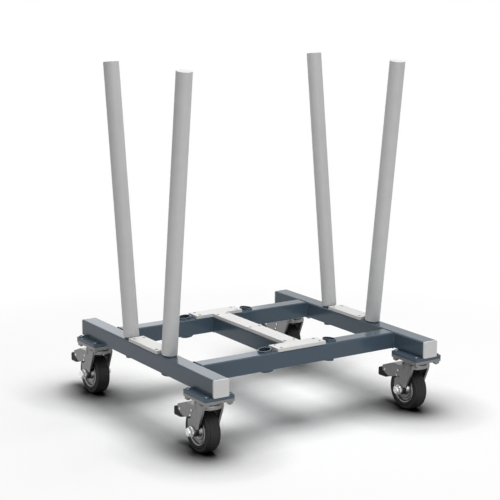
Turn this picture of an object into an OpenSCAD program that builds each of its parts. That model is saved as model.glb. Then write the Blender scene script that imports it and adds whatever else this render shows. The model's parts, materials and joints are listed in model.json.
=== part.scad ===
// Sheet goods cart: a welded square-tube frame on four braked swivel casters.
// Four leaning posts stand in sockets and hold boards on edge over plastic pads.
// Four spare sockets on the long tubes take the same posts the other way round.
// Millimetres, +Z up, floor at zero, +Y towards the side that the casters trail to.

/* [Frame] */
// Side of the square frame tube
tube_w = 50; // [46:1:56]
// Wall of the frame tube
tube_wall = 3; // [2:0.5:4]
// Outside corner radius of the frame tube
tube_corner = 5; // [4.5:0.5:8]
// Width across the outer faces of the two end tubes
frame_w = 766; // [720:1:900]
// Length of each end tube
frame_d = 774; // [760:1:900]
// Distance between the centre lines of the two long tubes
rail_pitch = 452; // [430:1:480]

/* [End caps] */
// Thickness of an end cap's outer plate
cap_t = 5; // [4:0.5:8]
// Rounding of the outer plate's front edges
cap_edge = 2; // [1:0.5:3]
// Depth of the hollow plug inside the tube
cap_plug = 18; // [12:1:25]

/* [Sockets] */
// Outside diameter of a post socket
socket_d = 40; // [38:0.5:42]
// Wall of a post socket
socket_wall = 2.85; // [2:0.05:3.5]
// Distance between the two sockets of one tube, at the tube's top face
socket_pitch = 224; // [210:1:250]
// Outward lean of sockets and posts, in degrees
lean = 7; // [3:0.5:10]
// Length of socket above the tube's top face
socket_rise = 8; // [5:0.5:12]
// Length of socket below the tube's underside
socket_drop = 6; // [4:0.5:10]

/* [Posts] */
// Outside diameter of the plastic post sleeve
sleeve_d = 46; // [43:0.5:50]
// Length of the post sleeve
sleeve_l = 800; // [600:10:1000]
// Thickness of the closed sleeve top
sleeve_top = 6; // [4:0.5:10]
// Wall of the steel pipe inside the sleeve
pipe_wall = 2.6; // [2:0.1:4]
// Length of pipe that stands in a socket
stub_l = 60; // [50:1:64]

/* [Pads] */
// Thickness of a pad strip
pad_t = 10; // [8:0.5:14]
// Length of the short pad strips between two sockets
pad_l = 166; // [140:1:168]
// Rounding of a pad's long top edges
pad_edge = 1.5; // [0.5:0.5:3]
// Distance from a pad's end to its screws
screw_inset = 16; // [12:1:24]
// Distance between the two screws of a pair
screw_gauge = 32; // [24:1:36]

/* [Casters] */
// Overall height of a caster, floor to the top of its plate
caster_h = 168; // [166:1:180]
// Diameter of the wheel
wheel_d = 125; // [118:1:126]
// Width of the tyre
wheel_w = 42; // [38:0.5:43]
// Distance of the axle behind the swivel axis
trail = 32; // [30:1:40]
// Width of the caster plate
plate_w = 94; // [92:1:104]
// Length of the caster plate
plate_l = 118; // [114:1:130]
// Thickness of the caster's own top plate
plate_t = 8; // [6:0.5:10]
// Thickness of the painted plate welded to the frame
weld_plate_t = 10; // [8:0.5:12]
// Sideways distance between the plate's bolts
bolt_pitch_x = 74; // [72:1:76]
// Lengthways distance between the plate's bolts
bolt_pitch_y = 95; // [90:1:100]
// Diameter of the plate bolts
bolt_d = 10; // [8:1:10]

/* [Fork] */
// Outside width of the fork
fork_w = 68; // [66:0.5:72]
// Sheet thickness of the fork
fork_t = 4; // [3:0.5:5]
// Width of the turned-in front edge of the legs
flange_w = 7; // [5.5:0.5:8]
// Radius of the rounded leg ends around the axle
leg_end_r = 22; // [20:0.5:25]
// Radius of the round fork head
head_r = 40; // [38:0.5:44]
// Depth of the skirt around the head's front
skirt = 18; // [12:0.5:22]
// Diameter of the king pin
king_d = 16; // [14:0.5:18]
// Diameter of the axle bolt
axle_d = 12; // [10:0.5:14]

/* [Brake] */
// Length of the brake lever from its pivot to the housing's end
lever_l = 111; // [106:1:120]
// Height that the lever's side plates span
lever_h = 58; // [54:1:62]
// Sheet thickness of the lever
lever_t = 2; // [1.5:0.5:3]
// Angle that the lever turns through when it is pressed, in degrees
press = 10; // [6:1:12]
// Length of the brake shoe along the tyre
shoe_l = 24; // [16:1:28]
// Length of the black pedal behind the lever
pedal_l = 18; // [12:1:25]

/* [Hidden] */
$fn = 64;

// Corners of the cart, as names and as the side that each lies on
CORNERS = ["front_left", "front_right", "rear_left", "rear_right"];
SIDES = [[-1, -1], [1, -1], [-1, 1], [1, 1]];

// Clearances and overruns
over = 1;             // overrun of a cut past the face that it opens
weld_gap = 0.2;       // a socket in the tube hole that it is welded into
post_fit = 0.3;       // a post pipe in its socket, on the radius
glue_gap = 0.05;      // a sleeve on its pipe and a bearing in its hub
pin_fit = 0.05;       // a turning pin or sleeve in its bore, on the radius
bolt_play = 0.5;      // a bolt in its clearance hole, on the radius
side_play = 0.3;      // a turning part beside a fixed one

// Frame
tube_r_in = tube_corner - tube_wall;
tube_bore = tube_w - 2 * tube_wall;
deck_z = caster_h + weld_plate_t + tube_w;
tube_z = deck_z - tube_w / 2;
end_x = (frame_w - tube_w) / 2;
rail_y = rail_pitch / 2;
rail_l = frame_w - 2 * tube_w;
centre_l = rail_pitch - tube_w;

// Sockets and posts
socket_r = socket_d / 2;
socket_bore_r = socket_r - socket_wall;
socket_bottom = tube_w / cos(lean) + socket_drop;
pipe_r = socket_bore_r - post_fit;
sleeve_r = sleeve_d / 2;
sleeve_bore_r = pipe_r + glue_gap;
sleeve_round = 2;     // rounding of the sleeve's top edge
pipe_top = socket_rise + sleeve_l - sleeve_top;

// Pads and their screws
screw_r = 2;          // shank of a pad screw
screw_hole_r = 2.4;   // hole through the pad
tap_r = 2.1;          // hole in the tube wall
screw_head_r = 4.2;   // head of a pad screw
sink_r = 4.6;         // counterbore around the head
sink_depth = 4;       // depth of the counterbore
screw_head_t = 2.4;   // height of the head
screw_tip = 4;        // length of screw past the tube wall
socket_r_deck = socket_r / cos(lean);

// Casters
axle_z = wheel_d / 2;
wheel_r = wheel_d / 2;
plate_z = caster_h - plate_t;
plate_corner = 4;     // corner radius of both plates
plate_inset = 2;      // plates kept inside the end of the tube
caster_y = frame_d / 2 - plate_inset - plate_l / 2;
bolt_r = bolt_d / 2;
bolt_head_r = 0.8 * bolt_d;
bolt_head_h = 0.45 * bolt_d;
nut_r = bolt_d;
nut_t = 0.8 * bolt_d;
bolt_tail = 0.3 * bolt_d;

// Swivel race
ball_r = 4;           // balls of the swivel race
ball_play = 0.3;      // groove around a ball, on the radius
ball_count = 14;
race_r = 27;          // circle of the ball centres
race_half = 7;        // half the width of a race ring
race_gap = 3;         // free height between the two rings
race_upper_t = 5;     // ring under the top plate
race_lower_t = 2;     // ring on the crown
crown_z = plate_z - race_upper_t - race_gap - race_lower_t;
ball_z = crown_z + race_lower_t + race_gap / 2;
king_r = king_d / 2;
king_washer_r = king_r + 9;
king_washer_t = 4;
king_nut_r = 1.73 * king_r;
king_nut_t = king_d;

// Fork; leg points are shares of the trail and of the height from axle to crown
fork_bend = 8;        // outside bend radius between crown and legs
head_edge = 6;        // rounding of the head's top edge
leg_rise = crown_z - axle_z;
leg_front_shares = [[-0.62, 1], [-0.62, 0.84], [-0.5, 0.7], [-0.14, 0.43], [0.22, 0.166]];
leg_rear_shares = [[1.5, 0.27], [1.09, 0.51], [0.83, 0.726], [0.81, 1]];
leg_x_in = fork_w / 2 - fork_t;
boss_t = 2.5;         // height of the dished boss around the axle
boss_r = leg_end_r - 2 * boss_t;
axle_r = axle_d / 2;
axle_play = 0.3;
spacer_r = axle_r + 2;
washer_r = 1.25 * axle_d;
washer_t = 2.5;
axle_nut_r = 1.155 * axle_d;
axle_nut_t = 0.7 * axle_d;
collar_r = 0.85 * axle_d;
collar_t = 0.2 * axle_d;
axle_end = fork_w / 2 + boss_t + washer_t + axle_nut_t + collar_t;

// Wheel; rim points are shares of the rim radius and of half the tyre width
bead_r = 0.704 * wheel_r;
rim_wall = 2.5;
bearing_r = spacer_r + 4.4;
hub_r = bearing_r + 3;
hub_half = 0.97 * wheel_w / 2;
rim_face_shares = [[0.39, 0.8], [0.5, 0.5], [0.58, 0.5], [0.645, 0.68], [0.7, 0.68],
                   [0.75, 0.5], [0.81, 0.54], [0.875, 0.9]];
tyre_round = 6;       // rounding of the tyre's shoulders
bearing_collar_r = hub_r - glue_gap;
bearing_half = leg_x_in - side_play;

// Brake; lever and pedal points are shares of the lever's length and height
pivot_y = trail / 2;
pivot_z = crown_z - 13;
pivot_r = 4;
ear_r = 7;
lever_x = leg_x_in - 5;
rivet_head_r = 6;
rivet_head_t = 2;
lever_shares = [[0, 0.12], [0.216, -0.05], [0.25, -0.07], [0.595, -0.086], [1, -0.38], [1, -0.88],
                [0.838, -1], [0.62, -0.845], [0.28, -0.64], [0.036, -0.11]];
bridge_share = 0.2;   // where the top of the lever begins to join its sides
shoe_turn = 27;       // place of the shoe around the tyre, behind the top, in degrees
shoe_h = 25;          // height of the shoe, cut off by the lever's top
shoe_half = 15;       // half the width of the brake shoe
press_gap = 0.5;      // space left at the tyre when the lever is pressed
stud_r = 2.5;         // rivets on the lever's sides
stud_t = 1.2;
stud_shares = [[0.315, -0.36], [0.37, -0.64]];
pedal_x = lever_x + 1;
pedal_gap = 1.5;      // room for the tyre inside the pressed pedal
pedal_tip_shares = [[-0.41, 1], [-0.56, 1.5], [-1.03, 1.5], [-1.085, 1.2]];
pedal_under_shares = [[0.829, -1.095], [0.72, -1], [0.73, -0.925], [0.838, -1], [1, -0.88]];
pedal_end_share = 1 + pedal_l / lever_l;

// The origin stands under the middle of the whole cart, pedals and end caps included
front_reach = frame_d / 2 + cap_t;
rear_reach = caster_y + pivot_y + lever_l + pedal_l;
shift_y = (front_reach - rear_reach) / 2;

// Colours
steel_blue = [0.25, 0.29, 0.32];
cap_grey = [0.7, 0.7, 0.7];
post_grey = [0.66, 0.66, 0.66];
pad_white = [0.89, 0.88, 0.87];
zinc = [0.62, 0.62, 0.61];
bright = [0.78, 0.78, 0.79];
rubber = [0.12, 0.12, 0.12];

// Puts the cart's middle over the origin
module placed() {
    translate([0, shift_y, 0]) children();
}

// Extrudes a drawing of Y and Z along X
module along_x(length) {
    rotate([90, 0, 90]) linear_extrude(length, center = true) children();
}

// Extrudes a drawing of X and Z along Y
module along_y(length) {
    rotate([90, 0, 0]) linear_extrude(length, center = true) children();
}

// Rectangle with round corners, centred
module rounded_rect(w, h, r) {
    square([w - 2 * r, h], center = true);
    square([w, h - 2 * r], center = true);
    for (x = [-1, 1], y = [-1, 1])
        translate([x * (w / 2 - r), y * (h / 2 - r)]) circle(r);
}

// Section of the frame tube
module tube_section() {
    difference() {
        rounded_rect(tube_w, tube_w, tube_corner);
        rounded_rect(tube_bore, tube_bore, tube_r_in);
    }
}

// The post places on one end tube, with +Z along the leaning post
module post_place(side) {
    translate([side[0] * end_x, side[1] * socket_pitch / 2, deck_z])
        rotate([-side[1] * lean, 0, 0]) children();
}

// The spare places on the long tubes, leaning sideways
module spare_place(side) {
    translate([side[0] * socket_pitch / 2, side[1] * rail_y, deck_z])
        rotate([0, side[0] * lean, 0]) children();
}

// Where a caster's swivel axis meets the floor
module caster_place(i) {
    placed() translate([SIDES[i][0] * end_x, SIDES[i][1] * caster_y, 0]) children();
}

// The cut that a socket needs in its tube
module socket_cut() {
    translate([0, 0, -2 * socket_bottom])
        cylinder(h = 4 * socket_bottom, r = socket_r + weld_gap);
}

// A socket: a plain steel sleeve, cut square at both ends
module socket() {
    translate([0, 0, -socket_bottom]) difference() {
        cylinder(h = socket_bottom + socket_rise, r = socket_r);
        translate([0, 0, -over])
            cylinder(h = socket_bottom + socket_rise + 2 * over, r = socket_bore_r);
    }
}

// Screw places of a pad that runs along X; a long pad has a middle pair too
module screw_places(length, rows) {
    for (u = rows, v = [-1, 1])
        translate([u * (length / 2 - screw_inset), v * screw_gauge / 2, deck_z]) children();
}

// Every pad of the deck: its place, its length and its rows of screws
end_rows = [-1, 1];
long_rows = [-1, 0, 1];

module on_end_tube(side) {
    translate([side * end_x, 0, 0]) rotate([0, 0, 90]) children();
}

module on_long_tube(side) {
    translate([0, side * rail_y, 0]) children();
}

module on_centre_tube() {
    rotate([0, 0, 90]) children();
}

module tap_holes(length, rows) {
    screw_places(length, rows)
        translate([0, 0, -2 * tube_wall]) cylinder(h = 3 * tube_wall, r = tap_r);
}

module end_tube(side) {
    color(steel_blue) placed() difference() {
        translate([side * end_x, 0, tube_z]) along_y(frame_d) tube_section();
        for (s = [-1, 1]) post_place([side, s]) socket_cut();
        on_end_tube(side) tap_holes(pad_l, end_rows);
    }
}

module long_tube(side) {
    color(steel_blue) placed() difference() {
        translate([0, side * rail_y, tube_z]) along_x(rail_l) tube_section();
        for (s = [-1, 1]) spare_place([s, side]) socket_cut();
        on_long_tube(side) tap_holes(pad_l, end_rows);
    }
}

module centre_tube() {
    color(steel_blue) placed() difference() {
        translate([0, 0, tube_z]) along_y(centre_l) tube_section();
        on_centre_tube() tap_holes(centre_l, long_rows);
    }
}

module post_sockets() {
    color(steel_blue) placed() for (side = SIDES) post_place(side) socket();
}

module spare_sockets() {
    color(steel_blue) placed() for (side = SIDES) spare_place(side) socket();
}

// Both caster plates share this outline and its four bolt holes
module plate_outline() {
    difference() {
        rounded_rect(plate_w, plate_l, plate_corner);
        for (x = [-1, 1], y = [-1, 1])
            translate([x * bolt_pitch_x / 2, y * bolt_pitch_y / 2]) circle(bolt_r + bolt_play);
    }
}

module caster_mount_plates() {
    color(steel_blue) for (i = [0:3])
        caster_place(i) translate([0, 0, caster_h]) linear_extrude(weld_plate_t) plate_outline();
}

// End cap: a rounded plate over the tube's end and a hollow plug inside it
module tube_end_cap() {
    cap_l = cap_t + cap_edge;
    intersection() {
        rotate([90, 0, 0]) linear_extrude(cap_t) rounded_rect(tube_w, tube_w, tube_corner);
        translate([0, -cap_t + cap_l, 0]) along_x(tube_w) rounded_rect(2 * cap_l, tube_w, cap_edge);
        translate([0, -cap_t + cap_l, 0]) linear_extrude(tube_w, center = true)
            rounded_rect(tube_w, 2 * cap_l, cap_edge);
    }
    plug_w = tube_bore - 2 * weld_gap;
    rotate([-90, 0, 0]) linear_extrude(cap_plug) difference() {
        rounded_rect(plug_w, plug_w, tube_r_in);
        rounded_rect(plug_w - 2 * tube_wall, plug_w - 2 * tube_wall, tube_r_in);
    }
}

module tube_end_caps() {
    color(cap_grey) placed() for (side = SIDES)
        translate([side[0] * end_x, side[1] * frame_d / 2, tube_z])
            rotate([0, 0, side[1] > 0 ? 180 : 0]) tube_end_cap();
}

// Pad strip with soft top edges and sunk screw holes
module pad(length, rows) {
    difference() {
        translate([0, 0, deck_z]) along_x(length) intersection() {
            rounded_rect(tube_w, 2 * pad_t, pad_edge);
            translate([-tube_w / 2, 0]) square([tube_w, pad_t]);
        }
        screw_places(length, rows) {
            translate([0, 0, -over]) cylinder(h = pad_t + 2 * over, r = screw_hole_r);
            translate([0, 0, pad_t - sink_depth]) cylinder(h = sink_depth + over, r = sink_r);
        }
    }
}

module end_pad(side) {
    color(pad_white) placed() on_end_tube(side) pad(pad_l, end_rows);
}

module long_pad(side) {
    color(pad_white) placed() on_long_tube(side) pad(pad_l, end_rows);
}

module pad_centre() {
    color(pad_white) placed() on_centre_tube() pad(centre_l, long_rows);
}

// Pan head screw, standing in its counterbore
module pad_screw() {
    seat = pad_t - sink_depth;
    translate([0, 0, -tube_wall - screw_tip]) cylinder(h = seat + tube_wall + screw_tip, r = screw_r);
    translate([0, 0, seat]) rotate_extrude() intersection() {
        translate([-screw_head_r, 0]) rounded_rect(4 * screw_head_r, 2 * screw_head_t, screw_head_t / 2);
        square([screw_head_r, screw_head_t]);
    }
}

module pad_screws() {
    color(zinc) placed() {
        for (s = [-1, 1]) {
            on_end_tube(s) screw_places(pad_l, end_rows) pad_screw();
            on_long_tube(s) screw_places(pad_l, end_rows) pad_screw();
        }
        on_centre_tube() screw_places(centre_l, long_rows) pad_screw();
    }
}

// The four bolt places of a caster, on the floor plane
module bolt_places() {
    for (x = [-1, 1], y = [-1, 1])
        translate([x * bolt_pitch_x / 2, y * bolt_pitch_y / 2, 0]) children();
}

// Low domed bolt from above, through both plates and the nut
module caster_bolts() {
    bolt_bottom = plate_z - nut_t - bolt_tail;
    plate_top = caster_h + weld_plate_t;
    dome_r = (bolt_head_r * bolt_head_r + bolt_head_h * bolt_head_h) / (2 * bolt_head_h);
    color(bright) for (i = [0:3]) caster_place(i) bolt_places() {
        translate([0, 0, bolt_bottom]) cylinder(h = plate_top - bolt_bottom, r = bolt_r);
        translate([0, 0, plate_top]) rotate_extrude() intersection() {
            translate([0, bolt_head_h - dome_r]) circle(dome_r);
            square([bolt_head_r, bolt_head_h]);
        }
    }
}

module caster_nuts() {
    color(bright) for (i = [0:3]) caster_place(i) bolt_places()
        translate([0, 0, plate_z - nut_t]) difference() {
            cylinder(h = nut_t, r = nut_r, $fn = 6);
            translate([0, 0, -over]) cylinder(h = nut_t + 2 * over, r = bolt_r + glue_gap);
        }
}

// King pin with the washer and the tall nut that hold the fork up
module king_pins() {
    pin_bottom = crown_z - fork_t - king_washer_t - king_nut_t;
    color(bright) for (i = [0:3]) caster_place(i) {
        translate([0, 0, pin_bottom]) cylinder(h = caster_h - pin_bottom, r = king_r);
        translate([0, 0, pin_bottom]) cylinder(h = king_nut_t, r = king_nut_r, $fn = 6);
        translate([0, 0, pin_bottom + king_nut_t]) cylinder(h = king_washer_t, r = king_washer_r);
    }
}

module swivel_balls() {
    color(bright) for (i = [0:3]) caster_place(i)
        for (a = [0:360 / ball_count:359])
            rotate([0, 0, a]) translate([race_r, 0, ball_z]) sphere(ball_r);
}

// Ring-shaped groove that the balls run in
module ball_groove() {
    translate([0, 0, ball_z]) rotate_extrude()
        translate([race_r, 0]) circle(ball_r + ball_play);
}

module race_ring(height) {
    difference() {
        cylinder(h = height, r = race_r + race_half);
        translate([0, 0, -over]) cylinder(h = height + 2 * over, r = race_r - race_half);
    }
}

// Steel post pipe; its lower end stands in the socket
module post_pipe(i) {
    pipe_bottom = socket_rise - stub_l;
    color(bright) placed() post_place(SIDES[i]) translate([0, 0, pipe_bottom]) difference() {
        cylinder(h = pipe_top - pipe_bottom, r = pipe_r);
        translate([0, 0, -over])
            cylinder(h = pipe_top - pipe_bottom + 2 * over, r = pipe_r - pipe_wall);
    }
}

// Plastic sleeve, closed at the top, resting on the socket's rim
module post_sleeve(i) {
    color(post_grey) placed() post_place(SIDES[i]) translate([0, 0, socket_rise]) difference() {
        rotate_extrude() intersection() {
            rounded_rect(sleeve_d, 2 * sleeve_l, sleeve_round);
            square([sleeve_r, sleeve_l]);
        }
        translate([0, 0, -over])
            cylinder(h = sleeve_l - sleeve_top + over, r = sleeve_bore_r);
    }
}

// Caster top plate with the upper ring of the ball race
module top_plate(i) {
    color(zinc) caster_place(i) difference() {
        union() {
            translate([0, 0, plate_z]) linear_extrude(plate_t) plate_outline();
            translate([0, 0, plate_z - race_upper_t]) race_ring(race_upper_t);
        }
        ball_groove();
        translate([0, 0, plate_z - over])
            cylinder(h = plate_t + 2 * over, r = king_r + glue_gap);
    }
}

// Section across the fork: crown and legs bent from one sheet
module fork_section(side_t, crown_t) {
    difference() {
        rounded_rect(fork_w, 2 * crown_z, fork_bend);
        rounded_rect(fork_w - 2 * side_t, 2 * (crown_z - crown_t), fork_bend - fork_t);
    }
}

// Side view of a fork leg
module leg_outline() {
    polygon([
        for (p = leg_front_shares) [p[0] * trail, axle_z + p[1] * leg_rise],
        [trail - leg_end_r, axle_z],
        [trail + leg_end_r, axle_z],
        for (p = leg_rear_shares) [p[0] * trail, axle_z + p[1] * leg_rise]
    ]);
    translate([trail, axle_z]) circle(leg_end_r);
}

// The strip along the front edge that is turned in to stiffen the legs
module leg_front_strip() {
    difference() {
        leg_outline();
        translate([fork_t, 0]) leg_outline();
        square([2 * trail, axle_z + spacer_r]);
    }
}

// Round head: a disc with a rounded edge and a skirt around its front, flush with the legs
module fork_head() {
    intersection() {
        rotate_extrude() intersection() {
            difference() {
                rounded_rect(2 * head_r, 2 * crown_z, head_edge);
                rounded_rect(2 * (head_r - fork_t), 2 * (crown_z - fork_t), head_edge - fork_t);
            }
            translate([0, crown_z - skirt]) square([head_r, skirt]);
        }
        translate([-fork_w / 2, -head_r, 0]) union() {
            cube([fork_w, head_r, crown_z]);
            translate([0, 0, crown_z - fork_t]) cube([fork_w, 2 * head_r, fork_t]);
        }
    }
}

module fork(i) {
    color(zinc) caster_place(i) difference() {
        union() {
            intersection() {
                along_y(8 * trail) fork_section(fork_t, fork_t);
                along_x(fork_w) leg_outline();
            }
            intersection() {
                along_y(8 * trail) fork_section(flange_w, fork_t);
                along_x(fork_w) leg_front_strip();
            }
            fork_head();
            translate([0, 0, crown_z]) race_ring(race_lower_t);
            for (s = [-1, 1]) {
                translate([s * fork_w / 2, trail, axle_z]) rotate([0, s * 90, 0])
                    cylinder(h = boss_t, r1 = leg_end_r - boss_t, r2 = boss_r);
                translate([s * (lever_x - lever_t - over), pivot_y, pivot_z]) rotate([0, s * 90, 0])
                    cylinder(h = fork_w / 2 - lever_x + lever_t + over, r = pivot_r);
                translate([s * fork_w / 2, pivot_y, pivot_z]) rotate([0, s * 90, 0])
                    cylinder(h = rivet_head_t, r = rivet_head_r);
            }
        }
        ball_groove();
        translate([0, 0, crown_z - fork_t - over])
            cylinder(h = fork_t + race_lower_t + 2 * over, r = king_r + pin_fit);
        translate([0, trail, axle_z]) rotate([0, 90, 0])
            cylinder(h = 2 * fork_w, r = axle_r + axle_play, center = true);
    }
}

// Turns a solid drawn along Z so that it lies along the axle, and takes it there
module on_axle(i) {
    caster_place(i) translate([0, trail, axle_z]) rotate([0, 90, 0]) children();
}

// Axle bolt, the sleeve that the bearing turns on, and a washer and nut on each side
module axle(i) {
    nut_x = fork_w / 2 + boss_t + washer_t;
    color(bright) on_axle(i) {
        cylinder(h = 2 * axle_end, r = axle_r, center = true);
        difference() {
            cylinder(h = 2 * leg_x_in, r = spacer_r, center = true);
            cylinder(h = 2 * fork_w, r = axle_r + glue_gap, center = true);
        }
        for (s = [-1, 1]) scale([1, 1, s]) difference() {
            union() {
                translate([0, 0, nut_x - washer_t]) cylinder(h = washer_t, r = washer_r);
                translate([0, 0, nut_x]) cylinder(h = axle_nut_t, r = axle_nut_r, $fn = 6);
                translate([0, 0, nut_x + axle_nut_t]) cylinder(h = collar_t, r = collar_r);
            }
            cylinder(h = 2 * axle_end, r = axle_r + glue_gap);
        }
    }
}

// Points of a rim face with its concentric steps, a depth below the outside
function rim_face(depth) = [for (p = rim_face_shares) [p[0] * bead_r, p[1] * wheel_w / 2 - depth]];

// Closes the points of one side with their mirror image
module both_sides(points) {
    last = len(points) - 1;
    polygon([for (p = points) p, for (k = [last:-1:0]) [points[k][0], -points[k][1]]]);
}

// Two pressed discs, joined by the hub tube and the bed of the tyre, and hollow between them
module rim(i) {
    inside = rim_face(rim_wall);
    color(bright) on_axle(i) rotate_extrude() difference() {
        both_sides([[bearing_r, hub_half], [hub_r, hub_half], each rim_face(0), [bead_r, hub_half]]);
        both_sides([[hub_r, inside[0][1]], each inside, [bead_r - rim_wall, hub_half - rim_wall]]);
    }
}

// Solid rubber tyre with rounded shoulders
module tyre(i) {
    color(rubber) on_axle(i) rotate_extrude() intersection() {
        rounded_rect(wheel_d, wheel_w, tyre_round);
        translate([bead_r, -wheel_w / 2]) square([wheel_r - bead_r, wheel_w]);
    }
}

// Bearing bush in the hub, with a collar on each side
module bearing(i) {
    color(bright) on_axle(i) difference() {
        union() {
            cylinder(h = 2 * bearing_half, r = bearing_r - glue_gap, center = true);
            for (s = [-1, 1]) scale([1, 1, s]) translate([0, 0, hub_half])
                cylinder(h = bearing_half - hub_half, r = bearing_collar_r);
        }
        cylinder(h = 4 * bearing_half, r = spacer_r + pin_fit, center = true);
    }
}

// A point of the brake lever, from its shares of length and height
function lever_point(p) = [pivot_y + p[0] * lever_l, pivot_z + p[1] * lever_h];

// Side view of the brake lever
module lever_outline() {
    polygon([for (p = lever_shares) lever_point(p)]);
    translate([pivot_y, pivot_z]) circle(ear_r);
}

// Shows something of the pressed lever's surroundings where the released lever meets it
module as_pressed() {
    translate([0, pivot_y, pivot_z]) rotate([press, 0, 0])
        translate([0, -pivot_y, -pivot_z]) children();
}

// Brake lever: a channel bent from sheet that straddles the tyre, with its shoe inside
module brake_lever(i) {
    inner = 2 * (lever_x - lever_t);
    color(zinc) caster_place(i) {
        difference() {
            along_x(2 * lever_x) lever_outline();
            along_x(inner) {
                for (k = [1, lever_h / 4, lever_h / 2])
                    translate([-lever_t, -lever_t * k]) lever_outline();
                translate([0, pivot_z - lever_h]) square([pivot_y + bridge_share * lever_l, 2 * lever_h]);
            }
            translate([0, pivot_y, pivot_z]) rotate([0, 90, 0])
                cylinder(h = 2 * fork_w, r = pivot_r + pin_fit, center = true);
        }
        intersection() {
            along_x(2 * shoe_half) lever_outline();
            as_pressed() translate([0, trail, axle_z]) rotate([-shoe_turn, 0, 0])
                translate([-shoe_half, -shoe_l / 2, wheel_r + press_gap])
                    cube([2 * shoe_half, shoe_l, shoe_h]);
        }
        for (s = [-1, 1], p = stud_shares)
            translate([s * lever_x, lever_point(p)[0], lever_point(p)[1]]) rotate([0, s * 90, 0])
                cylinder(h = stud_t, r = stud_r);
    }
}

// Black foot pedal behind and under the lever's end
module brake_pedal(i) {
    color(rubber) caster_place(i) difference() {
        along_x(2 * pedal_x) polygon([
            [pivot_y + lever_l, pivot_z + pedal_tip_shares[0][0] * lever_h],
            [pivot_y + lever_l + pedal_l / 2, pivot_z + pedal_tip_shares[0][0] * lever_h],
            [pivot_y + lever_l + pedal_l, pivot_z + pedal_tip_shares[1][0] * lever_h],
            [pivot_y + lever_l + pedal_l, pivot_z + pedal_tip_shares[2][0] * lever_h],
            [pivot_y + lever_l + pedal_l * 0.7, pivot_z + pedal_tip_shares[3][0] * lever_h],
            for (p = pedal_under_shares) lever_point(p)
        ]);
        as_pressed() translate([0, trail, axle_z]) rotate([0, 90, 0])
            cylinder(h = 2 * (lever_x - lever_t / 2), r = wheel_r + pedal_gap, center = true);
    }
}

end_tube(-1);  // end_tube_left
end_tube(1);  // end_tube_right
long_tube(-1);  // long_tube_front
long_tube(1);  // long_tube_rear
centre_tube();
post_sockets();
spare_sockets();
caster_mount_plates();
tube_end_caps();
end_pad(-1);  // pad_left
end_pad(1);  // pad_right
long_pad(-1);  // pad_front
long_pad(1);  // pad_rear
pad_centre();
pad_screws();
caster_bolts();
caster_nuts();
king_pins();
swivel_balls();
for (i = [0:3]) {
    post_pipe(i);
    post_sleeve(i);
    top_plate(i);
    fork(i);
    axle(i);
    rim(i);
    tyre(i);
    bearing(i);
    brake_lever(i);
    brake_pedal(i);
}
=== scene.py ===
"""Looks of a sheet goods cart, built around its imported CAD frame.

A welded square-tube frame in blue-grey powder coat stands on four braked swivel casters. Plastic
sleeves on four leaning posts hold boards on edge over plastic pads. Lengths are in metres, in the
frame of the CAD part.
"""
import json
import logging
import math
from dataclasses import dataclass
from enum import Enum, IntEnum
from typing import Optional, Sequence, Union

import bmesh
import bpy
from mathutils import Matrix, Vector


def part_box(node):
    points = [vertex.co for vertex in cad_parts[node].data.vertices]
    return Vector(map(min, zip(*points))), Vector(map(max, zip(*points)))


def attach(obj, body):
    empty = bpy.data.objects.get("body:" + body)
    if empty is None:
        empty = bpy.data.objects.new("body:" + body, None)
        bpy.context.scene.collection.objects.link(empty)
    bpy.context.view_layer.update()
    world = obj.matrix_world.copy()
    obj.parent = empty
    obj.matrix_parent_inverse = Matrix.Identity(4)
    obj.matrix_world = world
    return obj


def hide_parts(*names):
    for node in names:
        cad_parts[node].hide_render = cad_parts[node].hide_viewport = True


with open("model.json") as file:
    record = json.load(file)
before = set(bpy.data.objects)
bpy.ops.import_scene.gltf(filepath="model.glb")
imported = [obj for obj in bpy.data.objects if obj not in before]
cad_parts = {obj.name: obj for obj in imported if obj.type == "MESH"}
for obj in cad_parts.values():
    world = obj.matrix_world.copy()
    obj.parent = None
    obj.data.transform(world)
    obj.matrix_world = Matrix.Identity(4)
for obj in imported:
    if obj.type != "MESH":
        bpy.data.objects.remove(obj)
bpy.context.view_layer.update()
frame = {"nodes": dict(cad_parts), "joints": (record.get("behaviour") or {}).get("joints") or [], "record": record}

LOG = logging.getLogger("cart")
JOINTS = {joint["name"]: joint for joint in frame["joints"]}

MM = 0.001
UP = Vector((0, 0, 1))
ACROSS = Vector((1, 0, 0))

# The sRGB curve: a straight toe, then a power with an offset
SRGB_TOE_END, SRGB_TOE_SLOPE, SRGB_OFFSET, SRGB_POWER = 0.04045, 12.92, 0.055, 2.4

POST_LEAN_DEG = 7.0

# Edges that turn by more than this stay sharp or are rounded: on sheet and tube, on hexagons with
# their chamfers, and on forms whose curves have few points
SHARP_DEG, FACET_DEG, BLUNT_DEG = 35.0, 25.0, 50.0
ROUNDING_STEPS = 2

# Points nearer than the gap are one, and faces that turn by less than the angle are one face
MERGE_GAP, FLAT_DEG = 0.002 * MM, 0.5

Tree = bpy.types.NodeTree
Socket = bpy.types.NodeSocket
Mesh = bpy.types.Mesh
WorkMesh = bmesh.types.BMesh
Point = tuple[float, float, float]
FlatPoint = tuple[float, float]
Place = tuple[Vector, Vector]


class Corner(Enum):
    """The four corners of the cart: name, side along X and side along Y."""

    FRONT_LEFT = ("front_left", -1, -1)
    FRONT_RIGHT = ("front_right", 1, -1)
    REAR_LEFT = ("rear_left", -1, 1)
    REAR_RIGHT = ("rear_right", 1, 1)

    @property
    def label(self) -> str:
        """Name of the corner as the CAD nodes and bodies write it."""
        return self.value[0]

    @property
    def side(self) -> tuple[int, int]:
        """Signs of X and Y at this corner."""
        return self.value[1:]

    def named(self, kind: str) -> str:
        """Name of this corner's node, body, joint or piece of one kind."""
        return f"{kind}_{self.label}"


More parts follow.
